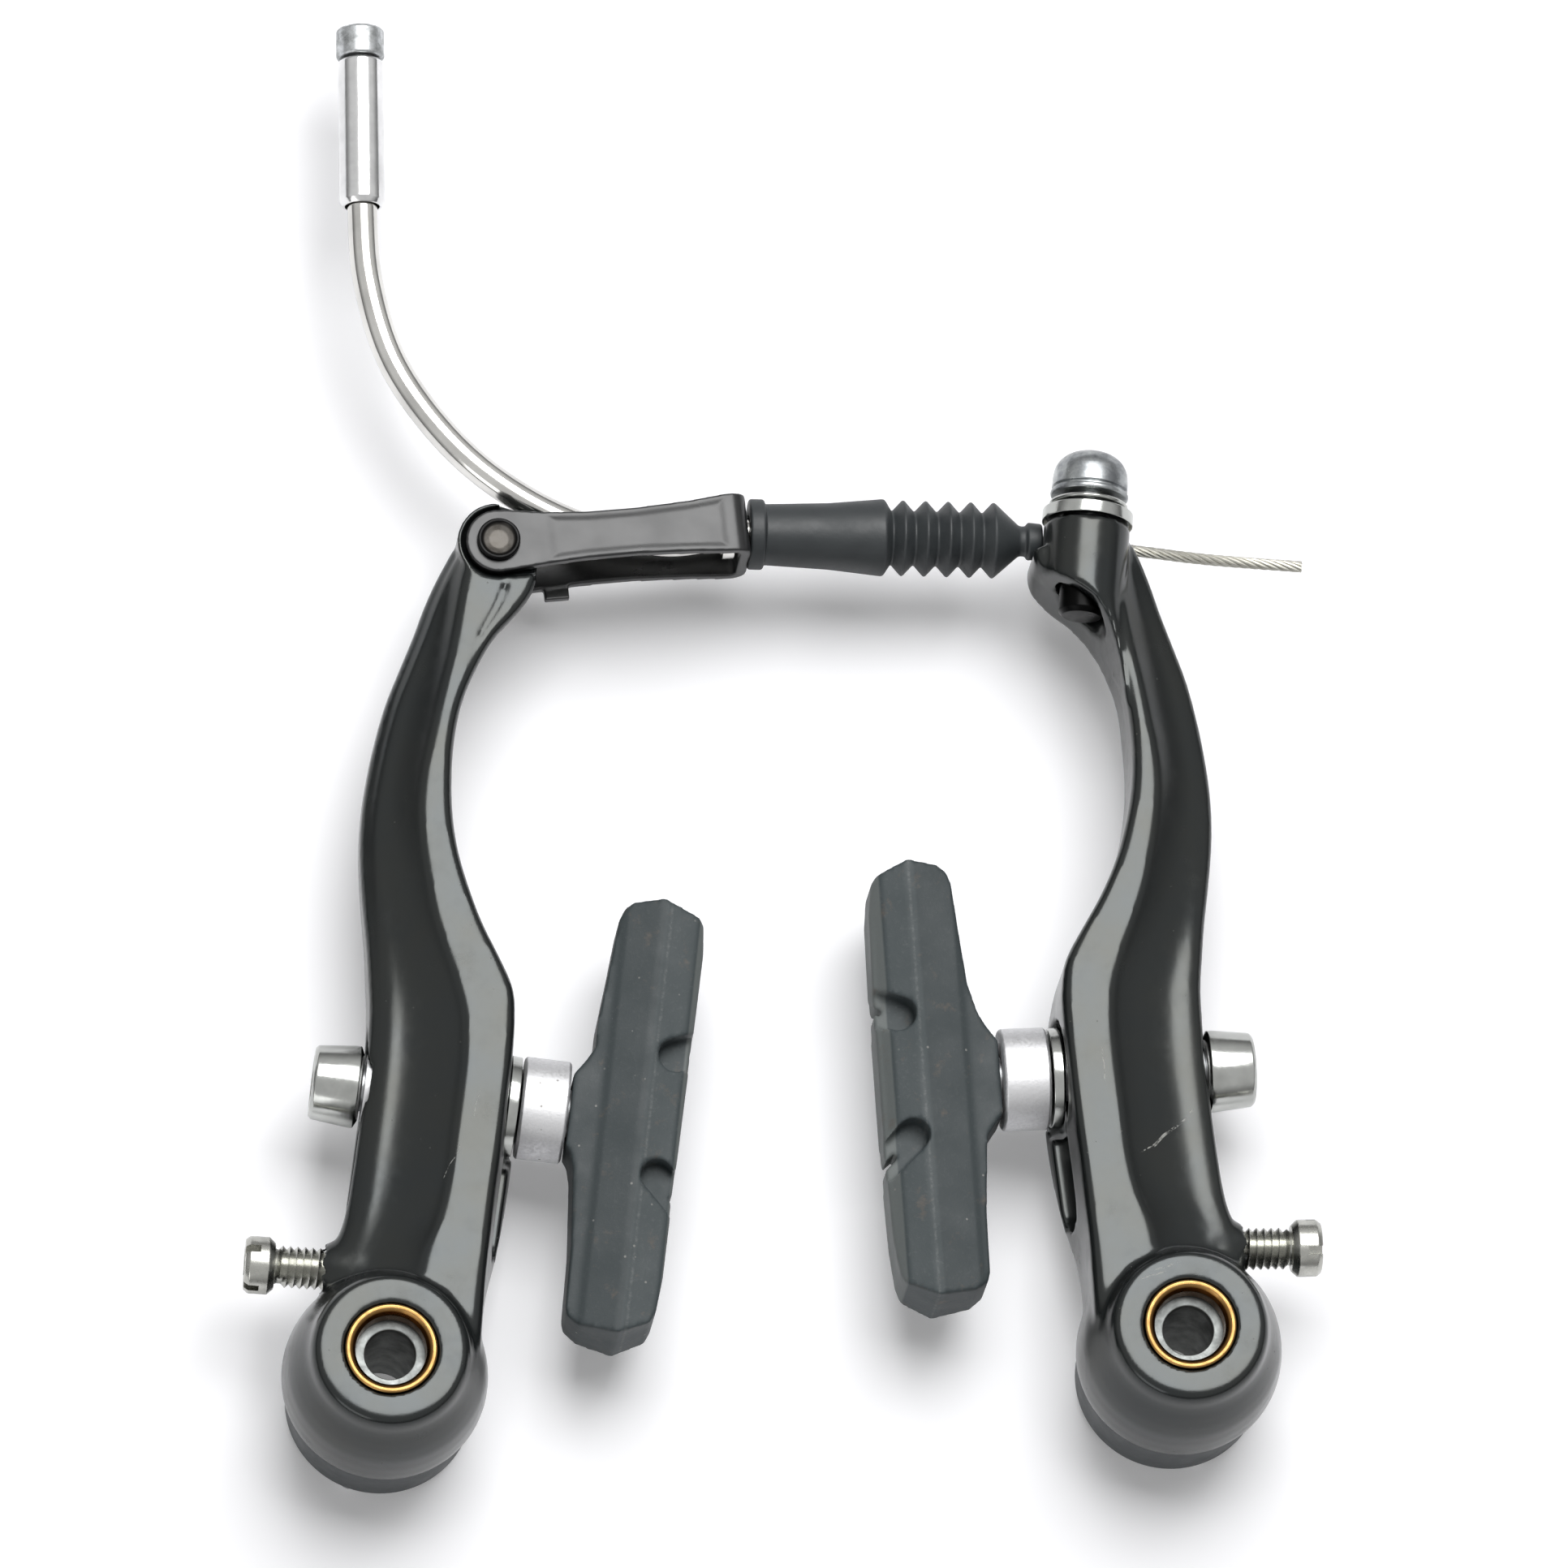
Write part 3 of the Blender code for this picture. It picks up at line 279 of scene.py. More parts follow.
def wire(name, points, radius, sides=6, **where):
    """A round bar along a path of points."""
    curve = bpy.data.curves.new(name, "CURVE")
    curve.dimensions = "3D"
    curve.bevel_depth = radius * MM
    curve.bevel_resolution = sides
    curve.use_fill_caps = True
    spline = curve.splines.new("POLY")
    spline.points.add(len(points) - 1)
    for point, co in zip(spline.points, points):
        point.co = (co[0] * MM, co[1] * MM, co[2] * MM, 1.0)
    return blank(name, meshed(curve), **where)


def loft(name, sections, **where):
    """A closed skin over sections that all have the same number of points."""
    count = len(sections[0])
    verts = [tuple(v * MM for v in point) for section in sections for point in section]
    faces = [tuple(range(count)), tuple(range(len(verts) - count, len(verts)))]
    for row in range(len(sections) - 1):
        for i in range(count):
            j = (i + 1) % count
            a = row * count
            faces.append((a + i, a + j, a + count + j, a + count + i))
    mesh = bpy.data.meshes.new(name)
    mesh.from_pydata(verts, [], faces)
    tidy(mesh)
    return blank(name, mesh, **where)


def fit(target, others, operation):
    """Cuts or joins several blanks in one go."""
    group = bpy.data.collections.new(target.name + "_" + operation.lower())
    for other in others:
        group.objects.link(other)
    mod = target.modifiers.new(operation, "BOOLEAN")
    mod.operation = operation
    mod.operand_type = "COLLECTION"
    mod.collection = group
    mod.solver = "EXACT"


def smooth_path(points, per_span=6):
    """Points on a curve through the given points, evenly eased at each one."""
    pts = [np.array(p, float) for p in points]
    pts = [2 * pts[0] - pts[1]] + pts + [2 * pts[-1] - pts[-2]]
    path = []
    for p0, p1, p2, p3 in zip(pts, pts[1:], pts[2:], pts[3:]):
        for t in np.linspace(0.0, 1.0, per_span, endpoint=False):
            a = 2 * p1 + (p2 - p0) * t
            b = (2 * p0 - 5 * p1 + 4 * p2 - p3) * t * t
            c = (3 * p1 - p0 - 3 * p2 + p3) * t ** 3
            path.append(tuple((a + b + c) / 2))
    path.append(tuple(pts[-2]))
    return path


def settled(obj):
    """The blank's mesh with its modifiers applied. Its cutters are cleared away."""
    bpy.context.view_layer.update()
    depsgraph = bpy.context.evaluated_depsgraph_get()
    mesh = bpy.data.meshes.new_from_object(obj.evaluated_get(depsgraph))
    for mod in obj.modifiers:
        if mod.type == "BOOLEAN":
            for other in list(mod.collection.objects):
                bpy.data.objects.remove(other, do_unlink=True)
    obj.modifiers.clear()
    obj.data = mesh
    tidy(mesh)
    return mesh


def cast(obj, voxel, rounds, soft_where=None):
    """Remeshes a blank evenly and eases its edges, as a casting or moulding has them."""
    settled(obj)
    remesh = obj.modifiers.new("Remesh", "REMESH")
    remesh.mode = "VOXEL"
    remesh.voxel_size = voxel * MM
    mesh = settled(obj)
    if soft_where is not None:
        group = obj.vertex_groups.new(name="soft")
        for v in mesh.vertices:
            weight = soft_where(v.co / MM)
            if weight > 0.01:
                group.add([v.index], weight, "REPLACE")
        ease = obj.modifiers.new("Fillet", "SMOOTH")
        ease.factor = 0.5
        ease.iterations = 24
        ease.vertex_group = "soft"
    ease = obj.modifiers.new("Ease", "SMOOTH")
    ease.factor = 0.5
    ease.iterations = rounds
    return obj


def finished(obj, name, body, node, paint, sharp=32.0, own=None):
    """The finished piece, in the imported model's frame, riding on its body."""
    mesh = settled(obj)
    mesh.name = name
    co = np.empty(len(mesh.vertices) * 3, np.float32)
    mesh.vertices.foreach_get("co", co)
    own_place = co / MM
    if own is not None:
        place = own.matrix_world.inverted() @ obj.matrix_world
        r = np.array(place)[:3, :3]
        own_place = ((co.reshape(-1, 3) @ r.T + np.array(place)[:3, 3]) / MM).ravel()
    attribute = mesh.attributes.new("own", "FLOAT_VECTOR", "POINT")
    attribute.data.foreach_set("vector", own_place.astype(np.float32))
    mesh.transform(obj.matrix_world)
    mesh.shade_smooth()
    mesh.set_sharp_from_angle(angle=math.radians(sharp))
    mesh.materials.clear()
    mesh.materials.append(paint)
    bpy.data.objects.remove(obj, do_unlink=True)
    made = bpy.data.objects.new(name, mesh)
    bpy.context.scene.collection.objects.link(made)
    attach(made, body)
    if node:
        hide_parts(node)
    return made


class Wires:
    """A short way to wire a tree of nodes."""

    def __init__(self, tree):
        self.tree = tree

    def link(self, value, socket):
        if hasattr(value, "links"):
            self.tree.links.new(value, socket)
        elif socket.type == "RGBA":
            socket.default_value = (*value, 1.0)
        else:
            socket.default_value = value

    def node(self, kind, inputs=(), **settings):
        """Adds a node with its settings made and its inputs linked or set. Gives its outputs."""
        made = self.tree.nodes.new(kind)
        for name, value in settings.items():
            setattr(made, name, value)
        for socket, value in dict(inputs).items():
            self.link(value, made.inputs[socket])
        return made.outputs

    def math(self, operation, a, b=0.0, c=0.0):
        return self.node("ShaderNodeMath", {0: a, 1: b, 2: c}, operation=operation)[0]

    def levels(self, value, from_low, from_high, to_low=0.0, to_high=1.0):
        return self.node("ShaderNodeMapRange", {
            "Value": value, "From Min": from_low, "From Max": from_high, "To Min": to_low, "To Max": to_high,
        })["Result"]

    def split(self, vector):
        return self.node("ShaderNodeSeparateXYZ", {0: vector})


# Materials


class Finish(Wires):
    """One material, with its clouds, specks and relief."""

    def __init__(self, name, color, metallic, roughness):
        self.mat = bpy.data.materials.new(name)
        self.mat.use_nodes = True
        super().__init__(self.mat.node_tree)
        self.shader = self.tree.nodes["Principled BSDF"].inputs
        self.set(base_color=color, metallic=metallic, roughness=roughness)
        self.place = self.node("ShaderNodeTexCoord")["Object"]
        self.bump = None

    def set(self, **values):
        for name, value in values.items():
            self.link(value, self.shader[name.replace("_", " ").title()])

    def own(self):
        """The place on the piece along its own axes, in millimetres."""
        return self.split(self.node("ShaderNodeAttribute", attribute_name="own")["Vector"])

    def noise(self, scale, detail=3.0, rough=0.55, source=None):
        return self.node("ShaderNodeTexNoise", {
            "Vector": self.place if source is None else source,
            "Scale": scale, "Detail": detail, "Roughness": rough,
        })["Fac"]

    def specks(self, scale, size, keep):
        """Small round spots in a share of a pattern's cells: 1 in a spot, 0 between them."""
        cells = self.node("ShaderNodeTexVoronoi", {"Vector": self.place, "Scale": scale})
        spot = self.levels(cells["Distance"], size, size * 0.5)
        red = self.node("ShaderNodeSeparateColor", {"Color": cells["Color"]})["Red"]
        return self.math("MULTIPLY", spot, self.levels(red, keep, keep * 0.9))

    def band(self, value, centre, half, soft):
        """1 within half of the centre, falling to 0 over soft beyond it."""
        off = self.math("ABSOLUTE", self.math("SUBTRACT", value, centre))
        return self.levels(off, half + soft, half)

    def colors(self, factor, first, second):
        return self.node("ShaderNodeMix", {"Factor": factor, 6: first, 7: second}, data_type="RGBA")[2]

    def blend(self, factor, first, second):
        return self.node("ShaderNodeMix", {"Factor": factor, 2: first, 3: second})[0]

    def radius(self, own):
        """The distance from the piece's own Z axis."""
        squares = [self.math("MULTIPLY", own[i], own[i]) for i in (0, 1)]
        return self.math("SQRT", self.math("ADD", *squares))

    def height(self, value, distance):
        """Adds a layer of relief, with its height in millimetres."""
        inputs = {"Distance": distance * MM, "Strength": 1.0, "Height": value}
        if self.bump is not None:
            inputs["Normal"] = self.bump
        self.bump = self.node("ShaderNodeBump", inputs)["Normal"]
        self.set(normal=self.bump)

    def scratch(self, own, start, end, width):
        """A mask for a fine broken line between two places in the piece's own X and Y."""
        along = Vector(end) - Vector(start)
        length = along.length
        along /= length
        x = self.math("SUBTRACT", own[0], start[0])
        y = self.math("SUBTRACT", own[1], start[1])
        run = self.math("ADD", self.math("MULTIPLY", x, along.x), self.math("MULTIPLY", y, along.y))
        off = self.math("SUBTRACT", self.math("MULTIPLY", y, along.x), self.math("MULTIPLY", x, along.y))
        wander = self.levels(self.noise(260.0, 2.0), 0.0, 1.0, -0.55, 0.55)
        line = self.band(self.math("ADD", off, wander), 0.0, width, width)
        ends = self.band(run, length / 2, length / 2 - 0.4, 0.4)
        breaks = self.levels(self.noise(1400.0, 2.0), 0.42, 0.56)
        return self.math("MULTIPLY", self.math("MULTIPLY", line, ends), breaks)


def arm_paint(name, marks):
    """Gloss black paint with a little dust and the scratches that this arm has."""
    n = Finish(name, (0.007, 0.0075, 0.008), 0.0, 0.2)
    own = n.own()
    cloud = n.noise(90.0, 4.0)
    fine = n.noise(900.0, 3.0)
    patch = n.levels(n.noise(240.0, 5.0, 0.65), 0.52, 0.68)
    dust = n.math("MULTIPLY", n.specks(900.0, 0.12, 0.1), n.levels(fine, 0.4, 0.6, 0.2, 1.0))
    rough = n.levels(n.math("ADD", cloud, n.math("MULTIPLY", fine, 0.4)), 0.45, 0.95, 0.18, 0.25)
    rough = n.blend(n.math("MULTIPLY", patch, 0.3), rough, 0.42)
    n.set(specular_tint=n.colors(n.levels(cloud, 0.35, 0.65), (0.93, 0.99, 1.0), (0.98, 1.0, 0.94)))
    tone = n.colors(cloud, (0.006, 0.0072, 0.0074), (0.009, 0.0103, 0.0103))
    tone = n.colors(n.math("MULTIPLY", dust, 0.6), tone, (0.10, 0.10, 0.09))
    for mark in marks:
        line = n.scratch(own, *mark)
        tone = n.colors(line, tone, (0.32, 0.32, 0.3))
        rough = n.blend(line, rough, 0.6)
    n.set(base_color=tone, roughness=n.blend(dust, rough, 0.5))
    n.height(n.noise(420.0, 2.0), 0.010)
    n.height(n.noise(1900.0, 2.0), 0.003)
    return n.mat


def brass():
    """Turned brass: bright on the rim, with painted shade down the bore in a darker brown."""
    n = Finish("turned_brass", (0.78, 0.5, 0.2), 1.0, 0.3)
    own = n.own()
    cloud = n.noise(700.0, 3.0)
    rim = n.levels(own[2], BOSS_FACE_Z - 0.25, BOSS_FACE_Z + 0.05)
    bright = n.colors(cloud, (0.5, 0.3, 0.11), (0.26, 0.14, 0.045))
    # Painted shade: below the rim the bore is coloured a darker brown.
    n.set(base_color=n.colors(rim, n.colors(cloud, (0.2, 0.085, 0.02), (0.1, 0.045, 0.012)), bright))
    n.set(roughness=n.levels(cloud, 0.35, 0.7, 0.24, 0.42))
    n.height(n.math("SINE", n.math("MULTIPLY", n.radius(own), 60.0)), 0.003)
    return n.mat


def rivet_black():
    """The rivet's head: brownish steel in its dish, and near black round it as painted shade on the rim."""
    n = Finish("rivet_black", (0.05, 0.048, 0.045), 0.85, 0.4)
    cloud = n.noise(620.0, 4.0, 0.65)
    dish = n.levels(n.math("ADD", n.radius(n.own()), n.math("MULTIPLY", cloud, 0.5)), 2.5, 2.05)
    dish_tone = n.colors(n.levels(cloud, 0.35, 0.65), (0.045, 0.041, 0.036), (0.085, 0.08, 0.073))
    # Painted shade: outside the dish the head is coloured near black.
    n.set(base_color=n.colors(dish, (0.006, 0.006, 0.006), dish_tone))
    n.set(roughness=n.levels(cloud, 0.3, 0.7, 0.3, 0.5))
    n.height(cloud, 0.03)
    return n.mat


def anchor_steel():
    """Satin plating, with painted shade: darker over the dome's top and black down the shank."""
    n = Finish("anchor_steel", (0.66, 0.68, 0.68), 1.0, 0.3)
    own = n.own()
    cloud = n.noise(380.0, 4.0, 0.65)
    side = n.colors(n.levels(cloud, 0.35, 0.65), (0.46, 0.48, 0.48), (0.2, 0.21, 0.22))
    # Painted shade: the dome's top is darkened in its colour.
    top = n.levels(n.math("ADD", own[2], n.math("MULTIPLY", cloud, 2.0)), 9.2, 10.6, 0.0, 0.75)
    # Painted shade: the shank is coloured black, so that the hole it sits in reads dark.
    shank = n.levels(own[2], -0.5, -1.5)
    n.set(base_color=n.colors(shank, n.colors(top, side, (0.1, 0.106, 0.11)), (0.006, 0.006, 0.006)))
    n.set(roughness=n.levels(cloud, 0.3, 0.7, 0.24, 0.42))
    n.height(cloud, 0.02)
    return n.mat


def steel(name, color, low, high, scale, turning=0.0):
    """Plain metal with clouds in its gloss, and turning marks along its own axis where asked."""
    n = Finish(name, color, 1.0, (low + high) / 2)
    cloud = n.noise(scale, 4.0)
    fine = n.noise(scale * 7, 2.0)
    dark = tuple(c * 0.78 for c in color)
    n.set(base_color=n.colors(n.levels(cloud, 0.35, 0.7), color, dark))
    n.set(roughness=n.levels(n.math("ADD", cloud, n.math("MULTIPLY", fine, 0.5)), 0.5, 1.0, low, high))
    if turning:
        lines = n.node("ShaderNodeCombineXYZ", {2: n.own()[2]})
        n.height(n.noise(9.0, 3.0, source=lines[0]), turning)
    n.height(fine, 0.003)
    return n.mat


def spacer_aluminium():
    n = Finish("satin_aluminium", (0.72, 0.72, 0.73), 1.0, 0.5)
    fine = n.noise(2600.0, 3.0)
    tone = n.colors(fine, (0.78, 0.78, 0.79), (0.62, 0.62, 0.63))
    n.set(base_color=n.colors(n.specks(900.0, 0.2, 0.16), tone, (0.3, 0.29, 0.28)))
    n.set(roughness=n.levels(fine, 0.3, 0.7, 0.42, 0.6))
    n.height(fine, 0.02)
    return n.mat


def end_stop_zinc():
    n = Finish("mottled_zinc", (0.5, 0.52, 0.53), 1.0, 0.35)
    cloud = n.noise(700.0, 4.0, 0.7)
    n.set(base_color=n.colors(n.levels(cloud, 0.38, 0.62), (0.62, 0.64, 0.65), (0.3, 0.31, 0.31)))
    n.set(roughness=n.levels(cloud, 0.3, 0.7, 0.25, 0.5))
    n.height(cloud, 0.03)
    return n.mat


def clouded(name, dark, light, gloss, clouds, grain, relief):
    """Paint, plastic or rubber with slow clouds in its tone and gloss, and a fine grain."""
    n = Finish(name, light, 0.0, gloss[1])
    cloud = n.noise(clouds, 4.0)
    n.set(base_color=n.colors(cloud, dark, light), roughness=n.levels(cloud, 0.3, 0.7, *gloss))
    n.height(n.noise(grain, 3.0), relief)
    return n.mat


def pad_rubber():
    """Moulded rubber: slate grey, paler on the worn friction face and along the mould's parting line."""
    n = Finish("pad_rubber", (0.05, 0.058, 0.062), 0.0, 0.62)
    out = n.own()[0]
    cloud = n.noise(160.0, 4.0)
    grain = n.noise(1500.0, 4.0, 0.7)
    tone = n.colors(cloud, (0.03, 0.040, 0.043), (0.05, 0.062, 0.065))
    tone = n.colors(n.levels(grain, 0.55, 0.75, 0.0, 0.4), tone, (0.10, 0.11, 0.112))
    face = n.math("MULTIPLY", n.levels(out, 16.65, 16.9), 0.7)
    tone = n.colors(face, tone, (0.16, 0.175, 0.17))
    back = n.levels(out, PAD_RIDGE_T - 0.6, PAD_RIDGE_T - 0.9, 0.0, 0.35)
    tone = n.colors(back, tone, (0.015, 0.021, 0.023))
    brown = n.levels(n.noise(300.0, 4.0, 0.7), 0.6, 0.72, 0.0, 0.5)
    tone = n.colors(brown, tone, (0.11, 0.088, 0.07))
    seam = n.math("MULTIPLY", n.band(out, PAD_RIDGE_T, 0.05, 0.22), n.levels(grain, 0.45, 0.6, 0.1, 0.5))
    tone = n.colors(seam, tone, (0.13, 0.14, 0.14))
    n.set(base_color=n.colors(n.specks(800.0, 0.16, 0.1), tone, (0.2, 0.2, 0.19)))
    n.set(roughness=n.levels(cloud, 0.3, 0.7, 0.55, 0.72))
    n.height(grain, 0.03)
    return n.mat


# Each mark in an arm's paint: one end, the other end, half the width of the line
LEFT_MARKS = [
    ((-1.5, 76.5), (0.6, 79.5), 0.05),
    ((3.5, 24.5), (5.2, 29.0), 0.03),
    ((6.1, 33.0), (6.4, 36.5), 0.03),
]
RIGHT_MARKS = [
    ((-2.6, 24.2), (5.4, 30.2), 0.05),
    ((-0.6, 25.4), (3.4, 28.6), 0.06),
    ((-4.6, 7.5), (-0.4, 8.1), 0.05),
    ((-5.6, 6.6), (-2.2, 7.4), 0.04),
    ((-6.0, 34.0), (-5.7, 38.5), 0.04),
]
PAINT = {
    "left_arm": arm_paint("gloss_black_paint_left", LEFT_MARKS),
    "right_arm": arm_paint("gloss_black_paint_right", RIGHT_MARKS),
    "link": clouded("satin_black_paint", (0.010, 0.0105, 0.011), (0.016, 0.0165, 0.017), (0.26, 0.36),
                    200.0, 1300.0, 0.01),
    "cap": clouded("cap_plastic", (0.044, 0.05, 0.053), (0.078, 0.085, 0.088), (0.45, 0.65),
                   350.0, 1500.0, 0.02),
    "boot": clouded("boot_rubber", (0.015, 0.018, 0.02), (0.034, 0.039, 0.041), (0.42, 0.62),
                    220.0, 1800.0, 0.02),
    "pad": pad_rubber(),
    "brass": brass(),
    "rivet": rivet_black(),
    "anchor": anchor_steel(),
    "spacer": spacer_aluminium(),
    "stop": end_stop_zinc(),
    # The pivot sleeves' steel is coloured darker than the plain steel.
    "sleeve": steel("worn_steel", (0.2, 0.21, 0.205), 0.4, 0.6, 500.0, 0.01),
    "steel": steel("plain_steel", (0.42, 0.43, 0.44), 0.3, 0.45, 300.0),
    "chrome": steel("bright_chrome", (0.5, 0.51, 0.49), 0.12, 0.24, 260.0),
    "zinc": steel("bright_zinc", (0.74, 0.73, 0.7), 0.16, 0.3, 420.0),
    "screw": steel("screw_zinc", (0.5, 0.5, 0.465), 0.2, 0.34, 600.0),
    "noodle": steel("noodle_plate", (0.74, 0.73, 0.7), 0.1, 0.17, 120.0),
    "sleeve_plate": steel("sleeve_plate", (0.8, 0.8, 0.8), 0.12, 0.22, 200.0, 0.006),
    "cable": steel("cable_steel", (0.5, 0.49, 0.44), 0.4, 0.55, 1500.0),
}

# Arm stations up the arm: height, outer edge, rib border, inner edge (left), inner edge (right)
ARM_EDGES = [
    (3.0, -9.3, 2.3, 11.2, 11.2),
    (10.0, -9.1, 2.0, 10.75, 10.75),
    (14.0, -8.8, 2.1, 10.5, 10.5),
    (19.0, -8.0, 3.3, 10.4, 10.4),
    (24.0, -7.85, 3.8, 10.3, 10.3),
    (30.0, -7.85, 3.75, 10.3, 10.3),
    (36.0, -7.95, 3.7, 10.2, 10.2),
    (42.0, -8.25, 3.45, 10.0, 10.0),
    (47.0, -8.7, 2.6, 9.65, 9.65),
    (51.0, -9.4, 1.1, 8.9, 8.65),
    (55.0, -10.15, -0.8, 6.6, 6.1),
    (59.0, -11.05, -2.6, 4.0, 3.35),
    (63.0, -11.9, -3.9, 1.9, 1.1),
    (68.0, -12.75, -5.3, -0.3, -1.0),
    (73.0, -13.15, -6.3, -1.75, -2.5),
    (78.0, -13.1, -6.5, -2.55, -3.3),
    (83.0, -12.75, -6.2, -2.9, -3.5),
    (88.0, -12.1, -5.8, -2.6, -3.4),
    (93.0, -10.95, -5.3, -1.4, -3.0),
    (98.0, -9.75, -5.0, 0.6, -1.0),
    (101.0, -9.15, -4.9, 2.6, 2.2),
    (104.3, -8.3, -4.8, 4.3, 5.6),
    (109.5, -6.5, -4.3, 4.6, 4.6),
]

# How far the foot of the inner wall stands out past its front edge: height, left, right
ARM_DRAFT = [
    (3.0, 0.5, 0.5), (10.0, 0.5, 0.5), (20.0, 1.7, 1.7), (38.0, 1.7, 1.7), (48.0, 0.3, 0.2), (80.0, 0.0, 0.3),
    (88.0, -0.8, 0.5), (93.0, -1.3, 1.7), (98.0, -1.6, 2.7), (101.0, -1.7, 2.2), (104.3, -1.8, 0.3),
    (110.0, -1.8, 0.3),
]
# How much further out the right arm bows: heights, amounts
RIGHT_BOW = ((45.0, 65.0, 105.0), (0.0, 0.4, 0.55))

# Depths at heights up the arm: height, back, rib front, share of the scoop that slopes, outer lip
ARM_DEPTHS = [
    (0.0, 12.6, 24.2, 0.8, 20.2),
    (14.0, 11.6, 24.0, 0.76, 20.0),
    (22.0, 8.6, 23.6, 0.73, 19.8),
    (46.0, 8.2, 23.4, 0.73, 19.6),
    (58.0, 10.2, 22.6, 0.84, 18.7),
    (75.0, 11.0, 21.8, 1.0, 17.8),
    (95.0, 10.8, 21.2, 1.0, 17.6),
    (105.0, 9.6, 20.8, 1.0, 18.0),
    (110.0, 9.5, 20.6, 1.0, 18.4),
]
RIB_EDGE = 0.7
GROOVE_HALF = 0.65
# The groove up the left rib below the link: heights with depths, heights with its place across the rib
GROOVE_DEPTH = ((86.0, 93.0, 108.0), (0.0, 0.3, 0.4))
GROOVE_SHARE = ((60.0, 88.0, 93.0, 98.0, 105.0), (0.5, 0.86, 0.8, 0.66, 0.6))
# How far the scoop rolls over at the outer edge, left and right
OUTER_ROLL = (0.9, 0.25)
RIGHT_ARM_TOP = 106.7
TRIM_FRONT = 21.0
TRIM_BACK = 8.0


def lookup(table, height, column):
    """Smoothly interpolated value of a column of the table at a height."""
    heights = [row[0] for row in table]
    values = [row[column] for row in table]
    k = max(i for i, h in enumerate(heights[:-1]) if h <= height or i == 0)
    h0, h1 = heights[k], heights[k + 1]
    slopes = np.gradient(values, heights)
    t = (height - h0) / (h1 - h0)
    m0, m1 = slopes[k] * (h1 - h0), slopes[k + 1] * (h1 - h0)
    return (
        values[k] * (2 * t**3 - 3 * t**2 + 1)
        + m0 * (t**3 - 2 * t**2 + t)
        + values[k + 1] * (3 * t**2 - 2 * t**3)
        + m1 * (t**3 - t**2)
    )


def arm_section(height, side):
    """One closed section of the arm: a raised rib on the inner side and a scoop that bulges beside it."""
    outer = lookup(ARM_EDGES, height, 1)
    border = lookup(ARM_EDGES, height, 2)
    inner = lookup(ARM_EDGES, height, 3 if side < 0 else 4)
    back, front, slope_end, lip = [lookup(ARM_DEPTHS, height, i) for i in (1, 2, 3, 4)]
    draft = lookup(ARM_DRAFT, height, 1 if side < 0 else 2)
    bow = float(np.interp(height, *RIGHT_BOW)) if side > 0 else 0.0
    dip = float(np.interp(height, *GROOVE_DEPTH)) if side < 0 else 0.0
    groove = border + (inner - border) * float(np.interp(height, *GROOVE_SHARE))
    roll = OUTER_ROLL[0] if side < 0 else OUTER_ROLL[1]
    rim = lip - roll
    points = [
        (inner + draft - 1.0, back),
        (inner + draft - 0.3, back + 0.3),
        (inner + draft, back + 1.0),
        (inner + draft * 0.45, (back + front) / 2),
        (inner + 0.05, front - 1.3),
        (inner - 0.25, front - 0.45),
        (inner - 0.9, front - 0.05),
        (min(groove + GROOVE_HALF, inner - 1.0), front - 0.02),
        (min(groove, inner - 1.1), front + 0.02 - dip),
        (min(groove - GROOVE_HALF, inner - 1.2), front + 0.02),
        (border + 0.9, front),
        (border + 0.25, front - 0.3),
        (border - 0.2, front - RIB_EDGE),
    ]
    start = border - 0.2
    end = outer + 1.0
    for t in np.linspace(0.07, 0.93, 13):
        drop = max(0.0, 1 - t / min(1.0, slope_end * 1.12)) ** 1.6
        fall = roll * max(0.0, (t - 0.78) / 0.22) ** 2
        points.append((start + (end - start) * t, lip + (front - RIB_EDGE - lip) * drop - fall))
    points += [
        (outer + 0.8, rim - 0.1),
        (outer + 0.25, rim - 0.45),
        (outer, rim - 1.1),
        (outer - 0.1, (back + lip) / 2),
        (outer + 0.1, back + 1.0),
        (outer + 0.4, back + 0.3),
        (outer + 1.1, back),
    ]
    return [(-side * (x - bow), height, z) for x, z in points]


def head_trim(word, frame):
    """What the slanted inner face of the right arm's head cuts off the barrel and its cone."""
    rows = []
    for h in (79.0, 84.0, 88.0, 91.0, 93.0, 95.0, 97.0, 98.5, 100.0, 101.0, 102.0, 103.0):
        front = lookup(ARM_EDGES, h, 4) - float(np.interp(h, *RIGHT_BOW)) + 0.1
        slope = lookup(ARM_DRAFT, h, 2) / (TRIM_FRONT - TRIM_BACK)
        at = [(front - slope * 6.0, TRIM_FRONT + 6.0), (front + slope * (TRIM_FRONT - TRIM_BACK), TRIM_BACK)]
        rows.append([(-x, h, z) for x, z in at + [(20.0, TRIM_BACK), (20.0, TRIM_FRONT + 6.0)]])
    return loft(word + "_head_trim", rows, parent=frame)


def capsule(name, x0, x1, y0, y1, z, radius, side, parent):
    """A round-ended slot running along X from x0 to x1."""
    outline = []
    for y, way in ((y1, 1), (y0, -1)):
        for a in np.linspace(0.0, math.pi, 17):
            outline.append((y + way * radius * math.sin(a), -way * radius * math.cos(a)))
    rows = [[(x, y, z + dz) for y, dz in outline] for x in sorted((-side * x0, -side * x1))]
    return loft(name, rows, parent=parent)


def spring_leg(side):
    """The return spring's leg, up inside the arm to the tip of the tension screw."""
    path = [
        (-8.2, 0.0, 11.475), (-8.05, 2.0, 12.375), (-7.4, 4.6, 13.675), (-6.3, 7.4, 15.3),
        (-5.6, 10.0, 15.9), (-5.45, 12.6, 16.0), (-5.45, 14.4, 16.0),
    ]
    return [(-side * x, y, z) for x, y, z in path]


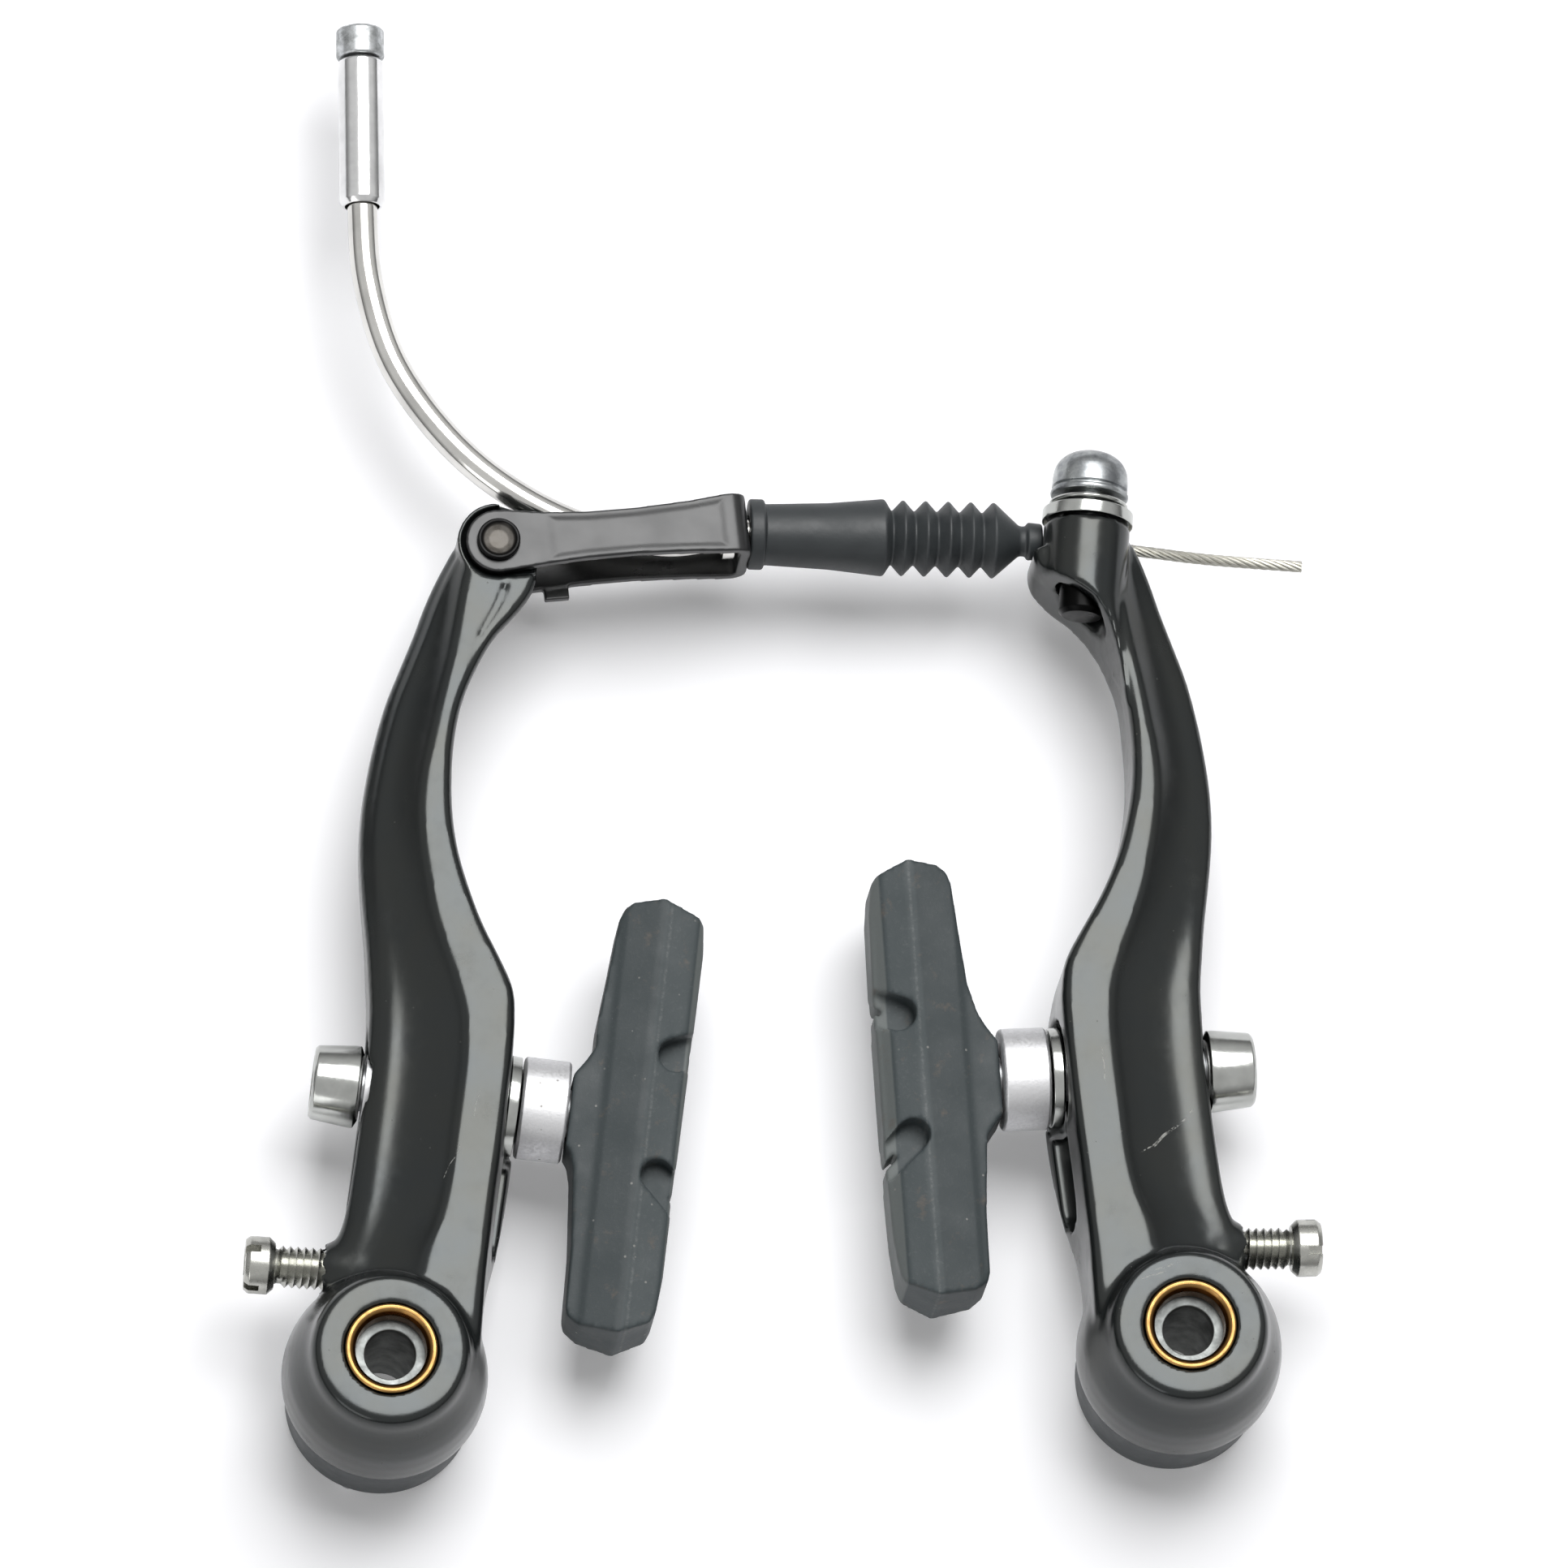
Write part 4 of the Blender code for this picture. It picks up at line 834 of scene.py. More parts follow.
def near_boss(place):
    """How much of the fillets round the boss and the screw lug a point takes."""
    r = math.hypot(place.x, place.y)
    lug = math.hypot(abs(place.x) - 8.2, place.y - 15.5, place.z - 17.5)
    most = float(np.interp(lug, [2.5, 5.0], [0.9, 0.0]))
    if place.z < 13.0 or r < 8.8 or place.y < -4.0:
        return most
    return max(most, float(np.interp(r, [8.8, 10.5, 14.0, 18.0], [0.0, 0.8, 1.0, 0.0])))


left_hub = empty("left_hub", (-PIVOT_SPACING / 2, 0, 0), -LEFT_LEAN, bench)
right_hub = empty("right_hub", (PIVOT_SPACING / 2, 0, 0), RIGHT_LEAN, bench)
left_rivet = Matrix.Rotation(math.radians(LEFT_LEAN), 3, "Z") @ (RIVET - Vector((-PIVOT_SPACING / 2, 0, 0)))


def build_arm(side, word, hub):
    def m(x, y, z):
        return (-side * x, y, z)

    top = ARM_EDGES[-1][0] if side < 0 else RIGHT_ARM_TOP
    heights = list(np.arange(3.0, top, 1.3)) + [top]
    arm = loft(word + "_arm", [arm_section(h, side) for h in heights], parent=hub)
    boss = turned(
        word + "_boss",
        [
            (0, BOSS_FACE_Z), (BOSS_FACE_RADIUS, BOSS_FACE_Z), (9.5, 28.0), (9.9, 27.4),
            (10.15, 26.5), (10.35, 25.5), (10.75, 24.3), (11.3, 22.9), (11.9, 21.3),
            (12.5, 19.4), (12.9, 16.9), (13.1, 14.6), (13.05, 13.2), (12.85, BOSS_RIM_Z), (0, BOSS_RIM_Z),
        ],
        parent=hub, steps=96, soft=0.6,
    )
    out = Vector(m(-math.cos(SCREW_SLOPE), -math.sin(SCREW_SLOPE), 0.0))
    tip = Vector(m(*SCREW_TIP))
    lug = turned(
        word + "_lug", [(0, 4.0), (2.7, 4.0), (3.1, 3.8), (3.6, 2.2), (4.4, -1.6), (0, -1.6)],
        parent=hub, location=tip, direction=out, steps=40,
    )
    added = [boss, lug]
    if side < 0:
        added.append(rod(word + "_tongue", TONGUE_RADIUS, LINK_Z - 5.7, LINK_Z + 5.75,
                         parent=hub, location=left_rivet))
    else:
        low = Vector(m(*BARREL_LOW, BARREL_Z))
        high = Vector(m(*BARREL_TOP, BARREL_Z))
        up = (high - low).normalized()
        barrel = rod(word + "_barrel", BARREL_RADIUS, 0.6, (high - low).length, 64,
                     parent=hub, location=low, direction=up)
        cone_top = Vector(m(-0.2, 99.6, BARREL_Z))
        cone_low = Vector(m(-3.4, 84.0, 19.6))
        reach = (cone_top - cone_low).length
        cone = turned(word + "_cone", [(0, reach), (BARREL_RADIUS - 0.05, reach), (1.6, 0), (0, 0)],
                      64, soft=0.0, parent=hub, location=cone_low, direction=cone_top - cone_low)
        added += [cone, barrel]
    fit(arm, added, "UNION")
    cuts = [
        rod(word + "_bore", BUSHING_RADIUS + 0.2, 5.0, 40.0, parent=hub),
        ring(word + "_cavity", CAVITY_RADIUS, HUB_RADIUS, 5.0, CAVITY_TOP, parent=hub),
        capsule(word + "_slot", -20.0, 20.0, 17.5 + SLOT_HALF, 45.0 - SLOT_HALF, STUD_Z, SLOT_HALF,
                side, hub),
        capsule(word + "_seat", SEAT_X, 20.0, SPACER_Y - 1.3, SPACER_Y + 0.2, STUD_Z, 7.1, side, hub),
        capsule(word + "_outer_seat", -20.0, OUTER_SEAT_X + GAP, SPACER_Y - 2.0, SPACER_Y - 0.6,
                STUD_Z, 4.65, side, hub),
        rod(word + "_screw_hole", SCREW_RADIUS + GAP, -0.9, 12.0, 32,
            parent=hub, location=tip, direction=out),
        wire(word + "_channel", spring_leg(side)[1:], SPRING_WIRE + GAP + 0.05, 2, parent=hub),
    ]
    if side < 0:
        cuts.append(rod(word + "_rivet_hole", RIVET_RADIUS + GAP, 0.0, 40.0, parent=hub, location=left_rivet))
        relief = LINK_END_RADIUS + 0.5
        outline = [(20.0, -relief)]
        outline += [(relief * math.cos(a), relief * math.sin(a)) for a in np.radians(range(-90, -271, -6))]
        outline += [(4.0, relief + 1.0), (20.0, relief + 5.0)]
        half = LINK_DEPTH / 2 - LINK_SHEET - GAP
        for name, z0, z1 in (("front", LINK_Z + half, 30.0), ("rear", 0.0, LINK_Z - half)):
            cuts.append(slab(word + "_relief_" + name, outline, z0, z1, LINK_TURN + LEFT_LEAN,
                             parent=hub, location=left_rivet))
    else:
        cuts.append(head_trim(word, hub))
        cuts.append(rod(word + "_anchor_hole", ANCHOR_SHANK + GAP, -4.0, 30.0,
                        parent=hub, location=low, direction=up))
        clamp = high - up * CABLE_DROP - Vector((0, 0, ANCHOR_SHANK + GAP + CABLE_RADIUS + 0.05))
        across = Vector((up.y, -up.x, 0.0))
        cuts.append(rod(word + "_groove", CABLE_RADIUS + GAP, -11.0, 11.0, 24, parent=hub, location=clamp,
                        direction=across))
        half = CABLE_RADIUS + GAP
        cuts.append(box(word + "_groove_top", (-11.0, 0.0, -half), (11.0, 5.0, half),
                        parent=hub, location=clamp, turn=math.degrees(math.atan2(across.y, across.x))))
    fit(arm, cuts, "DIFFERENCE")
    cast(arm, 0.36, 7, near_boss)
    finished(arm, word + "_arm_casting", word + "_arm", word + "_arm", PAINT[word + "_arm"], 60.0)
    build_pivot(side, word, hub)
    build_screw(word, hub, tip, out)
    build_pad(side, word, hub)


def build_pivot(side, word, hub):
    """The brass bushing in the boss, the sleeve inside it and the cap behind."""
    body = word + "_arm"
    lip = BOSS_FACE_Z
    bushing = turned(
        word + "_bushing",
        [
            (5.55, lip + 0.18), (BUSHING_RADIUS + 0.1, lip), (BUSHING_RADIUS, 13.0),
            (SLEEVE_RADIUS + GAP, 13.0),
            (SLEEVE_RADIUS + GAP, lip - SLEEVE_RECESS + GAP), (4.4, lip - SLEEVE_RECESS + GAP),
            (4.5, lip - 0.8), (4.85, lip - 0.2), (5.2, lip + 0.12),
        ],
        96, True, 0.1, parent=hub,
    )
    finished(bushing, word + "_brass_bushing", body, word + "_pivot_bushing", PAINT["brass"])
    nose = lip - SLEEVE_RECESS
    sleeve = turned(
        word + "_sleeve",
        [
            (SLEEVE_RADIUS, nose), (SLEEVE_RADIUS, CAP_BACK), (4.05, CAP_BACK),
            (4.05, nose - 1.6), (3.2, nose - 1.6), (3.2, nose),
        ],
        96, True, 0.2, parent=hub,
    )
    finished(sleeve, word + "_steel_sleeve", "frame_side", word + "_pivot_sleeve", PAINT["sleeve"])
    cap = turned(
        word + "_cap",
        [
            (CAP_RADIUS, CAP_TOP), (CAP_RADIUS, CAP_BACK + 0.8), (CAP_RADIUS - 0.5, CAP_BACK),
            (5.0, CAP_BACK),
            (5.0, CAP_TOP), (6.2, CAP_TOP), (6.2, CAP_BACK + 1.6), (10.8, CAP_BACK + 1.6), (10.8, CAP_TOP),
        ],
        96, True, 0.25, parent=hub,
    )
    hole = rod(word + "_pin_hole", 1.4, -1.0, 4.0, 24, parent=hub, location=(side * 2.3, -10.0, 0.0))
    fit(cap, [hole], "DIFFERENCE")
    finished(cap, word + "_plastic_cap", "frame_side", word + "_spring_cap", PAINT["cap"])


def build_screw(word, hub, tip, out):
    """The tension screw: a rolled thread and a crenellated head."""
    head0 = (SCREW_TIP[0] - SCREW_HEAD_X) / math.cos(SCREW_SLOPE) - SCREW_HEAD_LENGTH
    end = head0 + SCREW_HEAD_LENGTH
    screw = turned(
        word + "_screw",
        [
            (0, end - 1.2), (1.6, end - 1.2), (2.0, end), (3.2, end), (SCREW_HEAD_RADIUS, end - 0.6),
            (SCREW_HEAD_RADIUS, head0 + 0.8), (2.9, head0), (2.3, head0), (2.15, head0 - 0.3),
            (2.15, 0.6), (1.9, 0.0), (0, 0.0),
        ],
        72, soft=0.12, parent=hub, location=tip, direction=out,
    )
    slots = []
    for k in range(4):
        slots.append(box(word + f"_notch_{k}", (-0.55, 2.2, end - 1.9), (0.55, 6.0, end + 1.0),
                         parent=screw, turn=90.0 * k + 20.0))
    fit(screw, slots, "DIFFERENCE")
    finished(screw, word + "_screw_bar", word + "_screw", word + "_tension_screw", PAINT["screw"], own=screw)
    values = {"Radius": (SCREW_RADIUS - 0.02) * MM, "Depth": 0.5 * MM, "Pitch": SCREW_PITCH * MM,
              "Length": (head0 - 0.9) * MM, "Finish": PAINT["screw"]}
    thread = grow(word + "_thread", THREAD, values)
    thread.data.transform(Matrix.Translation((0, 0, 0.3 * MM)))
    thread.parent = hub
    thread.location = tip * MM
    thread.rotation_mode = "QUATERNION"
    thread.rotation_quaternion = out.to_track_quat("Z", "Y")
    finished(thread, word + "_screw_thread", word + "_screw", None, PAINT["screw"], 50.0, own=thread)


# Geometry Nodes trees


def tree_with_inputs(name, **inputs):
    """A new tree's wires, its input sockets and their identifiers."""
    tree = bpy.data.node_groups.new(name, "GeometryNodeTree")
    ids = {}
    for label, kind in inputs.items():
        socket = tree.interface.new_socket(label, in_out="INPUT", socket_type="NodeSocket" + kind)
        ids[label] = socket.identifier
    tree.interface.new_socket("Geometry", in_out="OUTPUT", socket_type="NodeSocketGeometry")
    wires = Wires(tree)
    return wires, wires.node("NodeGroupInput"), ids


def sweep(wires, given, path, sides, radius):
    """Ends a tree: a profile of even sides swept along a path, realized and given its finish."""
    profile = wires.node("GeometryNodeCurvePrimitiveCircle", {"Resolution": sides, "Radius": radius})[0]
    bar = wires.node("GeometryNodeCurveToMesh", {"Curve": path, "Profile Curve": profile, "Fill Caps": True})
    real = wires.node("GeometryNodeRealizeInstances", {0: bar[0]})
    finish = wires.node("GeometryNodeSetMaterial", {0: real[0], "Material": given["Finish"]})
    wires.node("NodeGroupOutput", {0: finish[0]})


def grow(name, made_tree, values, mesh=None):
    """Runs a tree on a mesh and keeps the plain mesh that it makes, as a workshop blank."""
    tree, ids = made_tree
    holder = bpy.data.objects.new("grow_" + name, mesh or bpy.data.meshes.new(name))
    shop.objects.link(holder)
    mod = holder.modifiers.new("Grow", "NODES")
    mod.node_group = tree
    for label, value in values.items():
        mod[ids[label]] = value
    depsgraph = bpy.context.evaluated_depsgraph_get()
    made = bpy.data.meshes.new_from_object(holder.evaluated_get(depsgraph))
    bpy.data.objects.remove(holder, do_unlink=True)
    return blank(name, made)


def thread_tree():
    """A ridge of four sides wound round a bar, partly sunk in it."""
    wires, given, ids = tree_with_inputs(
        "rolled_thread", Radius="Float", Depth="Float", Pitch="Float", Length="Float", Finish="Material")
    middle = wires.math("SUBTRACT", given["Radius"], given["Depth"])
    spiral = wires.node("GeometryNodeCurveSpiral", {
        "Resolution": 48, "Rotations": wires.math("DIVIDE", given["Length"], given["Pitch"]),
        "Start Radius": middle, "End Radius": middle, "Height": given["Length"],
    })
    upright = wires.node("GeometryNodeSetCurveNormal", {0: spiral[0]}, mode="Z_UP")
    sweep(wires, given, upright[0], 4, given["Depth"])
    return wires.tree, ids


def strand_tree():
    """Wires laid round a route of edges."""
    wires, given, ids = tree_with_inputs(
        "laid_strands", Route="Geometry", Strands="Int", Lay="Float", Circle="Float", Wire="Float",
        Step="Float", Finish="Material")

    def aside(direction, function):
        amount = wires.math("MULTIPLY", wires.math(function, angle), given["Circle"])
        return wires.node("ShaderNodeVectorMath", {0: direction, 3: amount}, operation="SCALE")[0]

    route = wires.node("GeometryNodeMeshToCurve", {0: given["Route"]})[0]
    even = wires.node("GeometryNodeResampleCurve", {"Curve": route, "Length": given["Step"]},
                      mode="LENGTH")[0]
    copies = wires.node("GeometryNodeDuplicateElements", {"Geometry": even, "Amount": given["Strands"]},
                        domain="SPLINE")
    along = wires.node("GeometryNodeSplineParameter")["Length"]
    share = wires.math("DIVIDE", copies["Duplicate Index"], given["Strands"])
    turns = wires.math("ADD", share, wires.math("DIVIDE", along, given["Lay"]))
    angle = wires.math("MULTIPLY", turns, math.tau)
    normal = wires.node("GeometryNodeInputNormal")[0]
    tangent = wires.node("GeometryNodeInputTangent")[0]
    side = wires.node("ShaderNodeVectorMath", {0: tangent, 1: normal}, operation="CROSS_PRODUCT")[0]
    offset = wires.node("ShaderNodeVectorMath", {0: aside(normal, "COSINE"), 1: aside(side, "SINE")},
                        operation="ADD")[0]
    place = wires.node("GeometryNodeSetPosition", {"Geometry": copies["Geometry"], "Offset": offset})[0]
    sweep(wires, given, place, 7, given["Wire"])
    return wires.tree, ids


THREAD = thread_tree()
STRANDS = strand_tree()

# The pad's outline from the stud outwards: distance from the arm, height
PAD_OUTLINE = [
    (6.5, -27.6), (6.2, -26.4), (6.0, -18.0), (5.2, -8.4), (3.6, -6.2), (2.95, -5.4), (2.95, 4.2),
    (4.2, 6.0), (5.3, 8.0), (6.3, 11.8), (7.0, 19.0), (7.5, 25.0), (8.1, 26.6), (9.2, 27.5),
    (13.0, 28.2), (17.0, 26.5), (17.7, 25.6), (18.2, 21.8), (18.4, 12.0), (18.4, -9.0), (18.1, -21.4),
    (17.6, -26.0), (17.0, -27.5), (13.0, -29.5), (8.2, -28.8),
]
# The pad's notches: name, distance of the round end from the arm, height, slant of the mouth
NOTCHES = (("upper", 15.4, 7.9, 24.0), ("lower", 14.8, -8.2, -42.0))


def slot_outline(half, length):
    """A slot with one round end at the origin, running out along X."""
    turn = np.linspace(math.pi / 2, 1.5 * math.pi, 21)
    return [(half * math.cos(a), half * math.sin(a)) for a in turn] + [(length, -half), (length, half)]


def pad_set(t, l):
    """How far the left pad's edges lie nearer to its arm than the right one's."""
    if t > 16.0:
        return float(np.interp(l, [-30.0, -9.0, 12.0, 26.0], [1.0, 1.3, 0.9, 0.4]))
    if t > 9.5:
        return 1.0
    return 1.05 if l > 9.0 or l < -8.0 else 0.0


def pad_blank(side, word, root):
    """The pad's outline with the pad's section, and its pockets with a slit to the friction face."""
    outline = PAD_OUTLINE
    ridge = PAD_RIDGE_T
    if side < 0:
        outline = [(t - pad_set(t, l), l) for t, l in PAD_OUTLINE]
        ridge = PAD_RIDGE_T - LEFT_PAD_SET
    outline = [(-side * t, l) for t, l in outline]
    pad = slab(word + "_pad", outline, -PAD_RIDGE_HALF, PAD_RIDGE_HALF, parent=root)
    section = [
        (0.0, 3.9), (6.6, 4.4), (7.6, 4.95), (ridge - 0.3, 6.04), (ridge + 0.3, 6.04),
        (16.6, 5.15), (18.0, 3.5), (22.0, 3.3),
    ]
    section = [(-side * t, h) for t, h in section] + [(-side * t, -h) for t, h in reversed(section)]
    fit(pad, [slab(word + "_pad_section", section, -40.0, 40.0, parent=root, upright=True)], "INTERSECT")
    cuts = []
    for name, t, l, slant in NOTCHES:
        angle = slant if side < 0 else 180.0 - slant
        rise = NOTCH_REACH / math.cos(math.radians(slant)) * math.sin(math.radians(slant))
        cuts.append(slab(word + "_notch_" + name, slot_outline(NOTCH_HALF, 9.0), -10.0, 10.0, angle,
                         parent=root, location=(-side * (t + NOTCH_REACH), l + rise, 0.0)))
        for z0, z1 in ((POCKET_FLOOR, 10.0), (-10.0, -POCKET_FLOOR)):
            cuts.append(slab(word + "_pocket_" + name, slot_outline(POCKET_RADIUS, 6.0), z0, z1, angle,
                             parent=root, location=(-side * t, l, 0.0)))
    return pad, cuts


def build_pad(side, word, hub):
    """The stud with its washers, nut and pad, laid along the stud's own axis."""
    turn = LEFT_STUD_TURN if side < 0 else RIGHT_STUD_TURN
    body = word + "_arm"
    root = empty(word + "_stud_axis", (-side * SPACER_X, SPACER_Y, STUD_Z), -side * turn, hub)
    bar = empty(word + "_stud_bar", (0, 0, 0), 0.0, root)
    bar.rotation_mode = "QUATERNION"
    bar.rotation_quaternion = Vector((-side, 0, 0)).to_track_quat("Z", "Y")
    # The pad's own frame has +X from the stud towards the rim
    pad_frame = empty(word + "_pad_frame", (0, 0, 0), 0.0 if side < 0 else 180.0, root)

    def on_axis(name, points, steps=72, closed=True, soft=0.14):
        return turned(word + name, points, steps, closed, soft, parent=bar)

    pad, cuts = pad_blank(side, word, root)
    cuts.append(rod(word + "_pad_hole", STUD_RADIUS + GAP, -10.0, 9.0, parent=bar))
    fit(pad, cuts, "DIFFERENCE")
    cast(pad, 0.33, 3)
    finished(pad, word + "_pad_block", body, word + "_pad_rubber", PAINT["pad"], 60.0, own=pad_frame)
    nut_out = NUT_OUTER_X - SPACER_X
    stud = on_axis("_stud", [
        (0, 8.7), (STUD_RADIUS, 8.7), (STUD_RADIUS, nut_out + 1.6), (2.5, nut_out + 1.0), (0, nut_out + 1.0),
    ], closed=False)
    finished(stud, word + "_threaded_stud", body, word + "_pad_stud", PAINT["steel"])
    hole = STUD_RADIUS + GAP
    end = 2.95 - GAP
    start = end - 6.0
    spacer = on_axis("_spacer", [
        (6.25, end), (6.55, end - 0.3), (6.55, start + 0.3), (6.25, start), (5.2, start),
        (hole + 0.6, start + 0.9), (hole, start + 0.9), (hole, end),
    ], 96)
    finished(spacer, word + "_thick_washer", body, word + "_thick_spacer", PAINT["spacer"], own=bar)
    cup_end = start - GAP
    cup_start = cup_end - 1.5
    cup = on_axis("_cup", [
        (hole + 0.4, cup_end + 0.95), (5.0, cup_end), (6.35, cup_end), (6.45, cup_start + 0.2),
        (6.25, cup_start), (hole, cup_start), (hole, cup_end + 0.95),
    ], 96)
    finished(cup, word + "_inner_cup", body, word + "_inner_cup_washer", PAINT["chrome"], own=bar)
    seat = OUTER_SEAT_X - SPACER_X
    outer = on_axis("_outer_cup", [
        (4.3, seat - GAP), (4.3, seat - 1.5), (4.1, seat - 1.7), (hole, seat - 1.7), (hole, seat - GAP)])
    finished(outer, word + "_outer_cup", body, word + "_outer_cup_washer", PAINT["chrome"], own=bar)
    thin = on_axis("_thin", [(4.3, seat - 2.0), (4.3, seat - 3.6), (hole, seat - 3.6), (hole, seat - 2.0)])
    finished(thin, word + "_thin_washer", body, word + "_outer_thin_spacer", PAINT["spacer"], own=bar)
    nut_in = seat - 3.9
    nut = on_axis("_nut", [
        (4.2, nut_in), (5.25, nut_in - 0.5), (5.25, nut_in - 1.2), (4.75, nut_out + 0.4),
        (4.35, nut_out), (hole + 0.3, nut_out), (hole, nut_out + 0.5), (hole, nut_in),
    ], 96)
    finished(nut, word + "_acorn_nut", body, word + "_pad_nut", PAINT["chrome"], own=bar)


build_arm(-1, "left", left_hub)
build_arm(1, "right", right_hub)

# Link
link_turn = math.radians(LINK_TURN)
link_dir = Vector((math.cos(link_turn), math.sin(link_turn), 0.0))
axis_root = RIVET + Vector((0.0, 0.0, LINK_Z))
link_frame = empty("link_frame", RIVET, LINK_TURN, bench)
# The link's edges: share of its length, height over its middle line
LOWER_EDGE = [
    (1.0, -3.95), (0.91, -3.85), (0.77, -3.5), (0.555, -3.2), (0.345, -3.25), (0.185, -3.6), (0.06, -4.0),
]
UPPER_EDGE = [
    (0.06, 3.98), (0.185, 3.4), (0.365, 2.98), (0.555, 2.98), (0.77, 3.35), (0.91, 3.85), (1.0, 3.95),
]


def link_outline():
    edge = [(share * LINK_LENGTH, y) for share, y in LOWER_EDGE]
    for a in np.radians(range(-90, -271, -6)):
        edge.append((LINK_END_RADIUS * math.cos(a), LINK_END_RADIUS * math.sin(a)))
    return edge + [(share * LINK_LENGTH, y) for share, y in UPPER_EDGE]


def strap(name, x1, half, radius):
    """Outline of a strip bent round its far end, in the plane of X and Z."""
    points = [(-8.0, LINK_Z - half)]
    for a in np.radians(range(-90, 1, 9)):
        points.append((x1 - radius + radius * math.cos(a), LINK_Z - half + radius + radius * math.sin(a)))
    for a in np.radians(range(0, 91, 9)):
        points.append((x1 - radius + radius * math.cos(a), LINK_Z + half - radius + radius * math.sin(a)))
    points.append((-8.0, LINK_Z + half))
    return slab(name, points, -10.0, 10.0, upright=True, parent=link_frame)


def dish(mesh):
    """Sinks the front plate a little inside its border, up to the rivet's flat."""
    lower = sorted((share * LINK_LENGTH, y) for share, y in LOWER_EDGE)
    upper = sorted((share * LINK_LENGTH, y) for share, y in UPPER_EDGE)
    for v in mesh.vertices:
        x, y, z = v.co / MM
        if z < front_z - 0.3 or x < 5.0 or x > LINK_LENGTH - 1.5:
            continue
        edge = min(float(np.interp(x, *zip(*upper))) - y, y - float(np.interp(x, *zip(*lower))))
        inside = min(edge - 0.35, (x - 6.0) * 0.6, (LINK_LENGTH - 2.6 - x) * 0.8)
        t = min(1.0, max(0.0, inside / 1.1))
        v.co.z -= 0.16 * t * t * (3 - 2 * t) * MM


back_z = LINK_Z - LINK_DEPTH / 2
front_z = LINK_Z + LINK_DEPTH / 2
link = slab("link", link_outline(), back_z - 1, front_z + 1, parent=link_frame)
fit(link, [strap("link_outer", LINK_LENGTH, LINK_DEPTH / 2, 2.2)], "INTERSECT")
inner = strap("link_inner", LINK_LENGTH - LINK_SHEET, LINK_DEPTH / 2 - LINK_SHEET, 0.9)
link_cuts = [
    inner,
    rod("link_rivet_hole", RIVET_RADIUS + GAP, 0.0, 40.0, parent=link_frame),
    rod("link_tube_hole", TUBE_RADIUS + GAP, LINK_LENGTH - 8.0, LINK_LENGTH + 8.0, parent=link_frame,
        location=(0, 0, LINK_Z), direction=(1, 0, 0)),
    box("link_keyhole", (LINK_LENGTH - 2.4, 0.0, LINK_Z - 1.1), (LINK_LENGTH + 1.0, 8.0, LINK_Z + 1.1),
        parent=link_frame),
]
fit(link, link_cuts, "DIFFERENCE")
tab = box("link_tab", (6.2, -5.1, back_z + 0.1), (9.4, -3.0, back_z + LINK_SHEET - 0.1), parent=link_frame)
fit(link, [tab], "UNION")
cast(link, 0.18, 3)
dish(settled(link))
finished(link, "link_stamping", "link", "link", PAINT["link"], 60.0)
head = RIVET_HEAD_RADIUS
rivet = turned(
    "rivet",
    [
        (0, front_z + 0.42), (1.2, front_z + 0.47), (2.0, front_z + 0.66), (2.3, front_z + 0.98),
        (2.6, front_z + 0.98), (head, front_z + 0.8), (head, front_z + GAP), (RIVET_RADIUS, front_z + GAP),
        (RIVET_RADIUS, back_z - GAP), (head, back_z - GAP), (head, back_z - 0.9),
        (2.3, back_z - 1.2), (0, back_z - 1.2),
    ],
    72, parent=link_frame,
)
finished(rivet, "rivet_pin", "link", "link_rivet", PAINT["rivet"], own=link_frame)

# Noodle: a tube bent through a quarter turn, with its tip in the link's end wall
tip_at = axis_root + link_dir * (LINK_LENGTH + 3.8)
mouth = Vector((-45.3, 176.3, LINK_Z))
sleeve_end = Vector((-46.0, 156.3, LINK_Z))
sleeve_dir = (mouth - sleeve_end).normalized()
tube_points = [
    sleeve_end + sleeve_dir * 12.0, sleeve_end,
    Vector((-45.7, 145.8, LINK_Z)), Vector((-42.96, 134.8, LINK_Z)), Vector((-36.7, 124.7, LINK_Z)),
    Vector((-29.0, 117.3, LINK_Z)), Vector((-19.6, 112.0, LINK_Z)),
    axis_root + link_dir * 21.5, axis_root + link_dir * 28.0, tip_at,
]
tube = wire("noodle_tube", smooth_path(tube_points, 12), TUBE_RADIUS, 10)
bore = smooth_path(tube_points, 6)
bore = [tuple(Vector(bore[0]) + sleeve_dir)] + bore[1:-1] + [tuple(Vector(bore[-1]) + link_dir)]
fit(tube, [wire("noodle_bore", bore, 1.4, 4)], "DIFFERENCE")
finished(tube, "noodle_bent_tube", "noodle", "noodle_tube", PAINT["noodle"])
sleeve = turned(
    "noodle_sleeve",
    [(2.7, 20.0), (2.95, 19.7), (2.95, 0.7), (2.5, 0.0), (TUBE_RADIUS + GAP, 0.0), (TUBE_RADIUS + GAP, 20.0)],
    96, True, 0.12, location=sleeve_end, direction=sleeve_dir,
)
finished(sleeve, "noodle_ferrule", "noodle", "noodle_sleeve", PAINT["sleeve_plate"], own=sleeve)
collar_at = axis_root + link_dir * (LINK_LENGTH - LINK_SHEET - GAP - 1.6)
collar = ring("noodle_collar", 2.9, TUBE_RADIUS + GAP, 0.0, 1.6, 72, 0.14,
              location=collar_at, direction=link_dir)
finished(collar, "noodle_shoulder", "noodle", "noodle_collar", PAINT["zinc"], own=collar)
stop_base = sleeve_end + sleeve_dir * (20.0 + GAP)
stop = turned(
    "cable_end_stop",
    [(0, 4.0), (2.82, 4.0), (3.12, 3.7), (3.12, 0.25), (2.87, 0.0), (1.05, 0.0), (1.05, 3.0), (0, 3.0)],
    96, soft=0.16, location=stop_base, direction=sleeve_dir,
)
